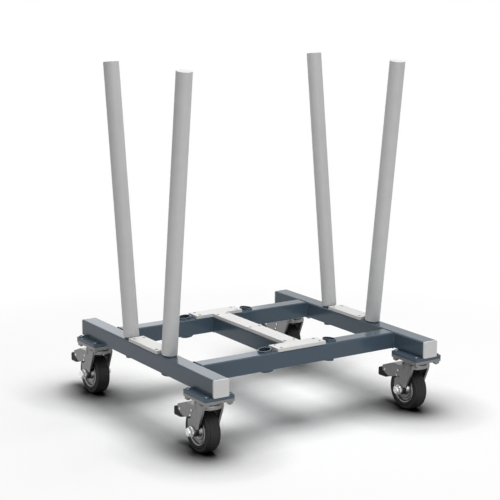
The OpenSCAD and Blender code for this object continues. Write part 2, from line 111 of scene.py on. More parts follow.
class View(Enum):
    """Ways to draw an outline out into a body, as the rows of a matrix."""

    SIDE = ((0, 0, 1, 0), (1, 0, 0, 0), (0, 1, 0, 0), (0, 0, 0, 1))  # Y and Z, drawn out along X
    END = ((1, 0, 0, 0), (0, 0, -1, 0), (0, 1, 0, 0), (0, 0, 0, 1))  # X and Z, drawn out along Y


class Join(Enum):
    """Ways to combine two bodies."""

    ADD = "UNION"
    TAKE = "DIFFERENCE"
    SHARE = "INTERSECT"


class Round(IntEnum):
    """Points around a turned form: few on small ones, many where its edge shows."""

    RIVET = 24
    BORE = 32
    NUT = 48
    WHEEL = 96
    CUT = 128


def joint_point(name: str) -> Vector:
    """Place of a hinge joint."""
    return Vector(JOINTS[name]["pos_m"])


def joint_axis(name: str) -> Vector:
    """Direction of a joint's axis."""
    return Vector(JOINTS[name]["axis"]).normalized()


def box_middle(node: str) -> Vector:
    """Middle of a CAD node's box."""
    low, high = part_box(node)
    return (low + high) / 2


def box_size(node: str) -> Vector:
    """Extents of a CAD node's box."""
    low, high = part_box(node)
    return high - low


# Nodes, colours and finishes


def add_node(
    tree: Tree, kind: str, settings: Optional[dict] = None, inputs: Optional[dict] = None
) -> bpy.types.Node:
    """Add a node with its settings, its constants and its links.

    Args:
        tree: Node tree that takes the node.
        kind: Blender's name of the node type.
        settings: Properties of the node.
        inputs: Values by socket name or number; a socket as value is linked.

    Returns:
        The new node.
    """
    node = tree.nodes.new(kind)
    for name, value in (settings or {}).items():
        setattr(node, name, value)
    for key, value in (inputs or {}).items():
        if isinstance(value, Socket):
            tree.links.new(value, node.inputs[key])
        else:
            node.inputs[key].default_value = value
    return node


def colour_of(code: str, strength: float = 1.0) -> tuple[float, float, float, float]:
    """Turn an sRGB hex code to a linear colour.

    Args:
        code: Colour such as "#8a8a88".
        strength: Factor on the linear values.

    Returns:
        Red, green, blue and alpha.
    """
    values = []
    for start in (1, 3, 5):
        share = int(code[start:start + 2], 16) / 255
        if share <= SRGB_TOE_END:
            linear = share / SRGB_TOE_SLOPE
        else:
            linear = ((share + SRGB_OFFSET) / (1 + SRGB_OFFSET)) ** SRGB_POWER
        values.append(linear * strength)
    return (*values, 1.0)


@dataclass(frozen=True)
class Pattern:
    """A cloudy pattern whose features have a real size, and what it does to a surface.

    A stretch below 1 draws it out along that axis, and turn rotates it, in radians. Its relief is
    depth_mm high, and it moves the roughness by up to gloss_spread.
    """

    size_mm: float
    octaves: float = 2.0
    stretch: Point = (1.0, 1.0, 1.0)
    turn: Point = (0.0, 0.0, 0.0)
    depth_mm: float = 0.0
    gloss_spread: float = 0.0

    def draw(self, tree: Tree, place: Socket) -> Socket:
        """Draw the pattern into a material.

        Args:
            tree: Node tree of the material.
            place: Object coordinates.

        Returns:
            The pattern's value, from 0 to 1.
        """
        mapped = add_node(tree, "ShaderNodeMapping", inputs={
            "Vector": place, "Rotation": self.turn, "Scale": self.stretch})
        noise = add_node(tree, "ShaderNodeTexNoise", inputs={
            "Vector": mapped.outputs["Vector"], "Scale": 1 / (self.size_mm * MM),
            "Detail": self.octaves})
        return noise.outputs["Fac"]


@dataclass(frozen=True)
class Finish:
    """A surface: what it is made of, and how its surface was made.

    Its colour varies by tint_spread over patches of tint_mm, as batches and handling make it. Most
    of a pattern's values lie within noise_span, which its gloss is spread over.
    """

    label: str
    slot: str
    colour: str
    roughness: float
    metallic: float = 0.0
    ior: float = 1.5
    specular: float = 0.5
    tint_spread: float = 0.06
    tint_mm: float = 40.0
    tint_octaves: float = 3.0
    noise_span: FlatPoint = (0.3, 0.7)

    def patterns(self) -> tuple[Pattern, ...]:
        """Patterns in this finish's relief and gloss; a plain finish has none."""
        return ()

    def material(self) -> bpy.types.Material:
        """Give this finish's material, which is built at the first call."""
        return bpy.data.materials.get(self.label) or self.build()

    def build(self) -> bpy.types.Material:
        """Build the node tree: a principled shader with this finish's tint and patterns.

        Returns:
            The material.
        """
        material = bpy.data.materials.new(self.label)
        material.use_nodes = True
        tree = material.node_tree
        tree.nodes.clear()
        constants = {"Metallic": self.metallic, "Roughness": self.roughness}
        if not self.metallic:
            constants.update({"IOR": self.ior, "Specular IOR Level": self.specular})
        shader = add_node(tree, "ShaderNodeBsdfPrincipled", inputs=constants)
        add_node(tree, "ShaderNodeOutputMaterial", inputs={"Surface": shader.outputs["BSDF"]})
        place = add_node(tree, "ShaderNodeTexCoord").outputs["Object"]
        low, high = 1 - self.tint_spread, 1 + self.tint_spread
        tint = add_node(tree, "ShaderNodeMix", {"data_type": "RGBA"}, {
            "Factor": Pattern(self.tint_mm, self.tint_octaves).draw(tree, place),
            "A": colour_of(self.colour, low), "B": colour_of(self.colour, high)})
        tree.links.new(tint.outputs["Result"], shader.inputs["Base Color"])
        for pattern in self.patterns():
            value = pattern.draw(tree, place)
            if pattern.depth_mm:
                bump = add_node(tree, "ShaderNodeBump", inputs={
                    "Height": value, "Strength": 1.0, "Distance": pattern.depth_mm * MM})
                tree.links.new(bump.outputs["Normal"], shader.inputs["Normal"])
            if pattern.gloss_spread:
                gloss = add_node(tree, "ShaderNodeMapRange", inputs={
                    "Value": value, "From Min": self.noise_span[0], "From Max": self.noise_span[1],
                    "To Min": self.roughness - pattern.gloss_spread,
                    "To Max": self.roughness + pattern.gloss_spread})
                tree.links.new(gloss.outputs["Result"], shader.inputs["Roughness"])
        return material


@dataclass(frozen=True)
class PowderCoat(Finish):
    """Polyester powder coat, sprayed and baked: satin, with orange peel in its highlights."""

    def patterns(self) -> tuple[Pattern, ...]:
        """Orange peel in soft waves of a millimetre or two, and wide patches of gloss."""
        return (Pattern(size_mm=2.4, octaves=1.0, depth_mm=0.008),
                Pattern(size_mm=30.0, gloss_spread=0.03))


@dataclass(frozen=True)
class ZincPlate(Finish):
    """Pressed steel with electroplated zinc: grey, rather dull, with faint rolling lines."""

    def patterns(self) -> tuple[Pattern, ...]:
        """Rolling lines drawn out along Z, and a cloudy gloss from the plating bath."""
        return (Pattern(size_mm=1.2, stretch=(1.0, 1.0, 0.08), depth_mm=0.012),
                Pattern(size_mm=14.0, octaves=4.0, gloss_spread=0.06))


@dataclass(frozen=True)
class TurnedSteel(Finish):
    """Bright steel from a lathe or a header: glossy, with very fine marks."""

    def patterns(self) -> tuple[Pattern, ...]:
        """Fine tool marks, the same from all sides, in relief and gloss."""
        return (Pattern(size_mm=0.9, octaves=3.0, depth_mm=0.006, gloss_spread=0.05),)


@dataclass(frozen=True)
class ExtrudedPlastic(Finish):
    """Polyethylene tube from an extruder: dull, with faint draw lines along its length."""

    lean: float = 0.0

    def patterns(self) -> tuple[Pattern, ...]:
        """Draw lines that follow the leaning post, and wide patches of gloss."""
        return (Pattern(size_mm=2.0, stretch=(1.0, 1.0, 0.01), turn=(-self.lean, 0.0, 0.0),
                        depth_mm=0.03),
                Pattern(size_mm=25.0, gloss_spread=0.04))


@dataclass(frozen=True)
class MouldedPlastic(Finish):
    """Injection moulded plastic with a spark-eroded mould face: an even fine grain."""

    def patterns(self) -> tuple[Pattern, ...]:
        """The mould's grain, drawn a little coarser than the real 0.5 mm so that it shows."""
        return (Pattern(size_mm=1.0, depth_mm=0.03),)


@dataclass(frozen=True)
class PlanedPlastic(Finish):
    """Polyethylene strip, cut from sheet: off-white and waxy, with faint planing marks."""

    def patterns(self) -> tuple[Pattern, ...]:
        """Planing marks along X, and scuffs in the gloss from boards that stood on it."""
        return (Pattern(size_mm=1.6, stretch=(0.05, 1.0, 1.0), depth_mm=0.02),
                Pattern(size_mm=9.0, octaves=5.0, gloss_spread=0.08))


@dataclass(frozen=True)
class SolidRubber(Finish):
    """Solid black rubber from a steel mould: matt, with the dust that it picks up."""

    def patterns(self) -> tuple[Pattern, ...]:
        """A fine pebble, and cloudy wear in the gloss."""
        return (Pattern(size_mm=0.8, octaves=4.0, depth_mm=0.05),
                Pattern(size_mm=12.0, octaves=4.0, gloss_spread=0.08))


# Polyester powder coat on welded steel: a deep, even blue-grey whose edges catch a soft highlight
FRAME_PAINT = PowderCoat("frame_powder_coat", "frame_paint", "#455461", roughness=0.17,
                         specular=0.3, tint_spread=0.03)

# Polypropylene caps from a mould: a pale grey that stays flat, with no clear reflection
CAP_PLASTIC = MouldedPlastic("cap_moulded_grey", "end_cap", "#cacaca", roughness=0.45)

# Polyethylene tube, one for each way that the posts lean: light grey with one broad dull highlight
POST_PLASTIC = {
    side: ExtrudedPlastic(f"post_sleeve_{word}", "post_sleeve", "#c8c8c8", roughness=0.5,
                          lean=side * math.radians(POST_LEAN_DEG))
    for side, word in ((-1, "front"), (1, "rear"))}

# Polyethylene strip: the palest part of the cart, waxy and soft where light grazes it
PAD_PLASTIC = PlanedPlastic("pad_planed_white", "pad", "#cfcfce", roughness=0.5)

# Steel sheet, pressed and zinc plated: mid grey, with blurred and cloudy reflections
CASTER_ZINC = ZincPlate("zinc_plated_sheet", "caster_zinc", "#7e7e7e", roughness=0.38,
                        metallic=1.0)

# Bolts and nuts in fresh bright zinc: nearly white, the brightest points of a caster
BRIGHT_ZINC = TurnedSteel("fastener_bright_zinc", "fastener", "#eeeeee", roughness=0.27,
                          metallic=1.0)

# Screws in dark passivated zinc: dark dots in the pads, and a king pin that keeps in the shade
DULL_ZINC = TurnedSteel("fastener_dull_zinc", "fastener", "#3c3c3c", roughness=0.5,
                        metallic=1.0)

# Rim pressed from bright steel: its steps show as clear rings of light and dark
RIM_STEEL = TurnedSteel("rim_pressed_steel", "rim_steel", "#989898", roughness=0.22,
                        metallic=1.0)

# Ground bearing steel under a film of grease: darker and duller than the rim around it
BEARING_STEEL = TurnedSteel("bearing_ground_steel", "bearing_steel", "#58585a", roughness=0.42,
                            metallic=1.0)

# Drawn steel pipe, zinc plated: a light grey with a long, soft highlight
PIPE_STEEL = ZincPlate("pipe_drawn_steel", "pipe_steel", "#a5a5a3", roughness=0.35,
                       metallic=1.0)

# Solid rubber: nearly black, with a weak and wide sheen on its shoulders
TYRE_RUBBER = SolidRubber("solid_black_rubber", "tyre_rubber", "#1c1c1c", roughness=0.5,
                          specular=0.3)

# Polyamide pedal from a mould: the darkest part, with little sheen
PEDAL_PLASTIC = MouldedPlastic("pedal_moulded_black", "pedal_black", "#101010", roughness=0.45,
                               specular=0.15)

SLOT_FINISHES = {
    finish.slot: finish
    for finish in (FRAME_PAINT, CAP_PLASTIC, POST_PLASTIC[-1], PAD_PLASTIC, CASTER_ZINC,
                   BRIGHT_ZINC, RIM_STEEL, BEARING_STEEL, PIPE_STEEL, TYRE_RUBBER, PEDAL_PLASTIC)}


# Mesh helpers


@dataclass(frozen=True)
class Ring:
    """One ring of a turned or hexagonal form around Z.

    A round ring has its radius. A hexagonal one has half its width across flats, and a chamfer
    sinks the part of it that lies outside chamfer_from, down where chamfer is 1 and up where it
    is -1.
    """

    radius: float
    height: float
    hexagon: bool = False
    chamfer_from: float = 0.0
    chamfer: int = 0

    def points(self, count: int) -> list[Vector]:
        """Work out the ring's points, counterclockwise as seen from above.

        Args:
            count: How many points.

        Returns:
            The points.
        """
        sixth, twelfth = math.radians(60), math.radians(30)
        found = []
        for k in range(count):
            angle = 2 * math.pi * k / count
            reach = self.radius
            if self.hexagon:
                reach /= math.cos((angle + twelfth) % sixth - twelfth)
            sunk = max(0.0, reach - self.chamfer_from) * math.tan(twelfth)
            height = self.height - self.chamfer * sunk
            found.append(Vector((reach * math.cos(angle), reach * math.sin(angle), height)))
        return found


def stack(rings: Sequence[Ring], count: int = Round.NUT, closed: bool = False) -> WorkMesh:
    """Skin rings one after the other into a closed body around Z.

    Args:
        rings: Rings in the order of the outline.
        count: Points per ring.
        closed: True where the last ring meets the first, as on a tyre; otherwise both ends get a
            face.

    Returns:
        A mesh whose faces point outwards.
    """
    mesh = bmesh.new()
    loops = [[mesh.verts.new(point) for point in ring.points(count)] for ring in rings]
    pairs = list(zip(loops, loops[1:]))
    if closed:
        pairs.append((loops[-1], loops[0]))
    for lower, upper in pairs:
        for k in range(count):
            after = (k + 1) % count
            mesh.faces.new((lower[k], lower[after], upper[after], upper[k]))
    if not closed:
        mesh.faces.new(loops[0])
        mesh.faces.new(loops[-1])
    bmesh.ops.recalc_face_normals(mesh, faces=mesh.faces)
    return mesh


def filleted(outline: Sequence[Point], steps: int = 5) -> list[FlatPoint]:
    """Round the corners of an outline.

    Args:
        outline: Corners as (radius, height, fillet radius); the first and last stay sharp.
        steps: Steps around each rounded corner.

    Returns:
        Points as (radius, height).
    """
    straight, longest = math.radians(178), 0.48  # a fillet takes less than half of either side
    points = [(outline[0][0], outline[0][1])]
    for before, corner, after in zip(outline, outline[1:], outline[2:]):
        here = Vector(corner[:2])
        back, ahead = Vector(before[:2]) - here, Vector(after[:2]) - here
        opening = back.angle(ahead)
        if corner[2] <= 0 or opening > straight:
            points.append(tuple(here))
            continue
        half = math.tan(opening / 2)
        setback = min(corner[2] / half, longest * back.length, longest * ahead.length)
        inwards = (back.normalized() + ahead.normalized()).normalized()
        centre = here + inwards * (setback * half / math.sin(opening / 2))
        start = here + back.normalized() * setback - centre
        end = here + ahead.normalized() * setback - centre
        sweep = start.angle_signed(end)
        for k in range(steps + 1):
            points.append(tuple(centre + Matrix.Rotation(-sweep * k / steps, 2) @ start))
    points.append((outline[-1][0], outline[-1][1]))
    return points


def turned(outline: Sequence[Point], count: int = Round.NUT) -> WorkMesh:
    """Turn an outline of (radius, height, fillet radius) corners around Z; its ends get faces."""
    return stack([Ring(radius, height) for radius, height in filleted(outline)], count)


def turned_ring(outline: Sequence[Point], count: int) -> WorkMesh:
    """Turn a closed outline around Z.

    Args:
        outline: Corners as (radius, height, fillet radius), all of them rounded.
        count: Points around the axis.

    Returns:
        A ring whose faces point outwards.
    """
    around = filleted([outline[-1], *outline, outline[0]])[1:-1]
    return stack([Ring(radius, height) for radius, height in around], count, closed=True)


def bore(radius: float, low: float, high: float, count: int = Round.BORE) -> WorkMesh:
    """Plain cylinder around Z, to cut a hole with."""
    return turned([(radius, low, 0), (radius, high, 0)], count)


def joined(parts: Sequence[WorkMesh]) -> WorkMesh:
    """Put several meshes into the first one.

    Args:
        parts: The meshes; all but the first are freed.

    Returns:
        The first mesh with all of them.
    """
    whole = parts[0]
    for part in parts[1:]:
        scratch = bpy.data.meshes.new("scratch")
        part.to_mesh(scratch)
        whole.from_mesh(scratch)
        bpy.data.meshes.remove(scratch)
        part.free()
    return whole


def moved(mesh: WorkMesh, matrix: Matrix) -> WorkMesh:
    """Move a mesh's points, and turn its faces back out where the matrix mirrors.

    Args:
        mesh: Mesh to move.
        matrix: Where it goes.

    Returns:
        The same mesh.
    """
    bmesh.ops.transform(mesh, matrix=matrix, verts=mesh.verts)
    if matrix.determinant() < 0:
        bmesh.ops.reverse_faces(mesh, faces=mesh.faces)
    return mesh


def standing_on(place: Sequence[float], axis: Vector) -> Matrix:
    """Matrix that takes Z to an axis and the origin to a place."""
    return Matrix.Translation(place) @ UP.rotation_difference(axis).to_matrix().to_4x4()


def drawn_out(outline: Sequence[FlatPoint], low: float, high: float, view: View) -> WorkMesh:
    """Draw an outline out into a closed body.

    Args:
        outline: Corners in the plane of the view.
        low: Where the body starts across that plane.
        high: Where it ends.
        view: The view that the outline is drawn in.

    Returns:
        A mesh whose faces point outwards.
    """
    body = bmesh.new()
    near, far = ([body.verts.new((u, v, w)) for u, v in outline] for w in (low, high))
    for k in range(len(near)):
        after = (k + 1) % len(near)
        body.faces.new((near[k], near[after], far[after], far[k]))
    body.faces.new(near)
    body.faces.new(far)
    bmesh.ops.recalc_face_normals(body, faces=body.faces)
    return moved(body, Matrix(view.value))


def working_copy(mesh: Mesh) -> WorkMesh:
    """Turn a plain mesh into a working mesh, with its flat faces joined.

    Args:
        mesh: Mesh to copy, such as a CAD node's loose triangles.

    Returns:
        The working mesh.
    """
    work = bmesh.new()
    work.from_mesh(mesh)
    bmesh.ops.remove_doubles(work, verts=work.verts, dist=MERGE_GAP)
    bmesh.ops.dissolve_limit(work, angle_limit=math.radians(FLAT_DEG), verts=work.verts,
                             edges=work.edges, delimit={"NORMAL"})
    return work


def combined(way: Join, first: WorkMesh, *others: WorkMesh) -> WorkMesh:
    """Add bodies to a first one, take them from it, or keep what they share with it.

    Args:
        way: How they are combined.
        first: Body to start from; it is freed.
        others: The other bodies; they are freed too.

    Returns:
        The resulting body.
    """
    for other in others:
        holder, tool = (scene_object(name, finished_mesh(name, body))
                        for name, body in (("carved", first), ("tool", other)))
        carving = holder.modifiers.new("carving", "BOOLEAN")
        carving.operation = way.value
        carving.solver = "EXACT"
        carving.object = tool
        first = working_copy(evaluated(holder))
        bpy.data.objects.remove(tool)
    return first


def finished_mesh(name: str, source: WorkMesh, sharp_deg: float = SHARP_DEG) -> Mesh:
    """Turn a working mesh into a mesh with smooth faces.

    Args:
        name: Name of the mesh.
        source: Working mesh; it is freed.
        sharp_deg: Edges that turn by more than this stay sharp.

    Returns:
        The mesh.
    """
    mesh = bpy.data.meshes.new(name)
    source.to_mesh(mesh)
    source.free()
    mesh.shade_smooth()
    mesh.set_sharp_from_angle(angle=math.radians(sharp_deg))
    return mesh


def evaluated(holder: bpy.types.Object) -> Mesh:
    """Apply an object's modifiers.

    Args:
        holder: Object with modifiers; it is removed.

    Returns:
        Its mesh as the modifiers leave it.
    """
    bpy.context.view_layer.update()
    graph = bpy.context.evaluated_depsgraph_get()
    mesh = bpy.data.meshes.new_from_object(holder.evaluated_get(graph), depsgraph=graph)
    bpy.data.objects.remove(holder)
    return mesh


def scene_object(name: str, data: bpy.types.ID) -> bpy.types.Object:
    """Link a new object to the scene.

    Args:
        name: Name of the object.
        data: Its mesh, lamp or camera.

    Returns:
        The object.
    """
    thing = bpy.data.objects.new(name, data)
    bpy.context.scene.collection.objects.link(thing)
    return thing


def softened(
    source: Union[str, WorkMesh], width_mm: float, limit_deg: float = SHARP_DEG
) -> Mesh:
    """Copy a CAD node's mesh, or finish a working mesh, with its sharp edges rounded.

    Args:
        source: CAD node to copy, or a working mesh, which is freed.
        width_mm: Width of the rounding.
        limit_deg: Edges that turn by more than this are rounded.

    Returns:
        The rounded mesh.
    """
    work = working_copy(frame["nodes"][source].data) if isinstance(source, str) else source
    holder = scene_object("softened", finished_mesh("softened", work))
    rounding = holder.modifiers.new("rounding", "BEVEL")
    rounding.width = width_mm * MM
    rounding.segments = ROUNDING_STEPS
    rounding.limit_method = "ANGLE"
    rounding.angle_limit = math.radians(limit_deg)
    rounding.use_clamp_overlap = False
    rounded = evaluated(holder)
    rounded.shade_smooth()
    rounded.set_sharp_from_angle(angle=math.radians(limit_deg))
    return rounded


def evenly_shaded(mesh: Mesh) -> Mesh:
    """Let large flat faces keep their own normals, so that only the roundings beside them shade.

    Args:
        mesh: Finished mesh.

    Returns:
        The mesh with its new normals.
    """
    holder = scene_object("shading", mesh)
    holder.modifiers.new("flat_faces", "WEIGHTED_NORMAL").keep_sharp = True
    return evaluated(holder)


def add_piece(
    name: str, mesh: Mesh, finish: Finish, body: str, replaced: Sequence[str] = ()
) -> bpy.types.Object:
    """Put a finished mesh on a CAD body.

    Args:
        name: Name of the piece.
        mesh: Its mesh, in the row frame.
        finish: Its finish.
        body: CAD body that it rides on.
        replaced: CAD nodes that it stands for.

    Returns:
        The piece's object.
    """
    mesh = evenly_shaded(mesh)
    mesh.materials.clear()
    mesh.materials.append(finish.material())
    piece = scene_object(name, mesh)
    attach(piece, body)
    if replaced:
        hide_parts(*replaced)
    LOG.info("%s rides on %s, %d faces", name, body, len(mesh.polygons))
    return piece


# Geometry Nodes


class NodeTool:
    """A Geometry Nodes tree with named inputs, run once on a base mesh."""

    def __init__(self, name: str, sizes: dict[str, str]) -> None:
        """Start a tree.

        Args:
            name: Name of the tree.
            sizes: Socket types of its inputs, by name.
        """
        self.tree = bpy.data.node_groups.new(name, "GeometryNodeTree")
        interface = self.tree.interface
        interface.new_socket("Geometry", in_out="INPUT", socket_type="NodeSocketGeometry")
        self.sockets = {
            label: interface.new_socket(label, in_out="INPUT", socket_type=kind).identifier
            for label, kind in {**sizes, "Finish": "NodeSocketMaterial"}.items()}
        interface.new_socket("Geometry", in_out="OUTPUT", socket_type="NodeSocketGeometry")
        self.given = add_node(self.tree, "NodeGroupInput").outputs

    def end(self, geometry: Socket) -> None:
        """Close the tree: realise the instances and set the material.

        Args:
            geometry: What the tree has made.
        """
        whole = add_node(self.tree, "GeometryNodeRealizeInstances", inputs={"Geometry": geometry})
        dressed = add_node(self.tree, "GeometryNodeSetMaterial", inputs={
            "Geometry": whole.outputs["Geometry"], "Material": self.given["Finish"]})
        add_node(self.tree, "NodeGroupOutput", inputs={"Geometry": dressed.outputs["Geometry"]})

    def run(self, base: Mesh, finish: Finish, values: dict) -> Mesh:
        """Run the tree on a mesh.

        Args:
            base: Mesh that the tree starts from.
            finish: Finish of the result.
            values: The other inputs, by name.

        Returns:
            The result as a plain mesh.
        """
        holder = scene_object("node_base", base)
        modifier = holder.modifiers.new("nodes", "NODES")
        modifier.node_group = self.tree
        for label, value in {**values, "Finish": finish.material()}.items():
            modifier[self.sockets[label]] = value
        return evaluated(holder)


class Scatter(NodeTool):
    """Sets a template on every point of a mesh, facing along the point's own direction."""

    SEED = 7
    FLOAT_MAX, FLOAT_OUT = 3, 1  # sockets of the random value node that carry plain numbers

    def __init__(self) -> None:
        """Build the tree."""
        super().__init__("scatter_fasteners", {
            "Template": "NodeSocketObject", "Largest Spin": "NodeSocketFloat",
            "Seed": "NodeSocketInt"})
        tree = self.tree
        facing = add_node(tree, "GeometryNodeInputNamedAttribute", {"data_type": "FLOAT_VECTOR"},
                          {"Name": "facing"})
        upright = add_node(tree, "FunctionNodeAlignRotationToVector", {"axis": "Z"},
                           {"Vector": facing.outputs["Attribute"]})
        spin = add_node(tree, "FunctionNodeRandomValue", {"data_type": "FLOAT"}, {
            self.FLOAT_MAX: self.given["Largest Spin"], "Seed": self.given["Seed"]})
        turn = add_node(tree, "ShaderNodeCombineXYZ", inputs={"Z": spin.outputs[self.FLOAT_OUT]})
        rotation = add_node(tree, "FunctionNodeEulerToRotation", inputs={"Euler": turn.outputs[0]})
        spun = add_node(tree, "FunctionNodeRotateRotation", {"rotation_space": "LOCAL"}, {
            "Rotation": upright.outputs["Rotation"], "Rotate By": rotation.outputs["Rotation"]})
        template = add_node(tree, "GeometryNodeObjectInfo", inputs={
            "Object": self.given["Template"]})
        placed = add_node(tree, "GeometryNodeInstanceOnPoints", inputs={
            "Points": self.given["Geometry"], "Instance": template.outputs["Geometry"],
            "Rotation": spun.outputs["Rotation"]})
        self.end(placed.outputs["Instances"])

    def spread(
        self, template: Mesh, places: Sequence[Place], finish: Finish, spin: float = 2 * math.pi
    ) -> Mesh:
        """Set a template on places.

        Args:
            template: Mesh around the origin, facing +Z.
            places: Each place and the direction that it faces.
            finish: Finish of the copies.
            spin: Largest random turn about the facing direction.

        Returns:
            One mesh with all the copies.
        """
        base = bpy.data.meshes.new("places")
        base.from_pydata([place for place, _ in places], [], [])
        facing = base.attributes.new("facing", "FLOAT_VECTOR", "POINT")
        for k, (_, direction) in enumerate(places):
            facing.data[k].vector = direction
        sample = scene_object("template", template)
        result = self.run(base, finish, {
            "Template": sample, "Largest Spin": spin, "Seed": self.SEED})
        bpy.data.objects.remove(sample)
        return result


class WeldBead(NodeTool):
    """Lays a rippled bead along every loop of a mesh of edges."""

    PITCH = 3.2 * MM
    RIPPLE = 0.14  # how far a ripple swells the bead, as a share of its radius
    STEPS = 4  # points along each ripple
    PROFILE = 8  # points around the bead

    def __init__(self) -> None:
        """Build the tree."""
        super().__init__("weld_bead", {
            "Radius": "NodeSocketFloat", "Ripple Pitch": "NodeSocketFloat",
            "Ripple Share": "NodeSocketFloat"})
        tree = self.tree
        path = add_node(tree, "GeometryNodeMeshToCurve", inputs={"Mesh": self.given["Geometry"]})
        step = add_node(tree, "ShaderNodeMath", {"operation": "DIVIDE"}, {
            0: self.given["Ripple Pitch"], 1: self.STEPS})
        dense = add_node(tree, "GeometryNodeResampleCurve", {"mode": "LENGTH"}, {
            "Curve": path.outputs["Curve"], "Length": step.outputs["Value"]})
        index = add_node(tree, "GeometryNodeInputIndex")
        phase = add_node(tree, "ShaderNodeMath", {"operation": "MULTIPLY"}, {
            0: index.outputs["Index"], 1: 2 * math.pi / self.STEPS})
        wave = add_node(tree, "ShaderNodeMath", {"operation": "SINE"}, {0: phase.outputs["Value"]})
        swell = add_node(tree, "ShaderNodeMath", {"operation": "MULTIPLY_ADD"}, {
            0: wave.outputs["Value"], 1: self.given["Ripple Share"], 2: 1.0})
        ring = add_node(tree, "GeometryNodeCurvePrimitiveCircle", inputs={
            "Resolution": self.PROFILE, "Radius": self.given["Radius"]})
        tube = add_node(tree, "GeometryNodeCurveToMesh", inputs={
            "Curve": dense.outputs["Curve"], "Profile Curve": ring.outputs["Curve"],
            "Scale": swell.outputs["Value"], "Fill Caps": True})
        self.end(tube.outputs["Mesh"])

    def lay(
        self, paths: Sequence[tuple[list[Vector], bool]], radius: float, finish: Finish
    ) -> Mesh:
        """Lay beads along paths.

        Args:
            paths: Points of each path, and whether it closes.
            radius: Radius of the bead.
            finish: Finish of the bead.

        Returns:
            One mesh with all the beads.
        """
        points, edges = [], []
        for path, closed in paths:
            start = len(points)
            points.extend(path)
            edges.extend((k, k + 1) for k in range(start, len(points) - 1))
            if closed:
                edges.append((len(points) - 1, start))
        base = bpy.data.meshes.new("bead_paths")
        base.from_pydata(points, edges, [])
        mesh = self.run(base, finish, {
            "Radius": radius, "Ripple Pitch": self.PITCH, "Ripple Share": self.RIPPLE})
        mesh.shade_smooth()
        return mesh


# Fastener templates


@dataclass(frozen=True)
class SocketScrew:
    """Template of a round-headed screw with a hexagon socket, its seat at the origin."""

    head_r: float
    head_h: float
    edge: float
    key_r: float
    key_depth: float
    dome: float = 0.0
    edge_steps: int = 3
    flat_shares: FlatPoint = (1.5, 1.25)  # of key_r, where the head's flat top starts and ends
    lead_share: float = 0.1  # of key_r, how far the hexagon starts below the top
    tip_share: float = 0.3  # of key_r, how far the drill's point goes below the hexagon

    def mesh(self, name: str) -> Mesh:
        """Build the head.

        Args:
            name: Name of the mesh.

        Returns:
            The head's mesh.
        """
        outer, inner = (share * self.key_r for share in self.flat_shares)
        rim = [(self.head_r, 0.0, 0.0), (self.head_r, self.head_h - self.dome, self.edge),
               (outer, self.head_h, self.edge), (inner, self.head_h, 0.0)]
        rings = [Ring(radius, height) for radius, height in filleted(rim, self.edge_steps)]
        lead, floor = self.lead_share * self.key_r, self.head_h - self.key_depth
        rings += [Ring(self.key_r, self.head_h - lead, hexagon=True),
                  Ring(self.key_r, floor, hexagon=True),
                  Ring(lead, floor - self.tip_share * self.key_r)]
        return finished_mesh(name, stack(rings, Round.RIVET))


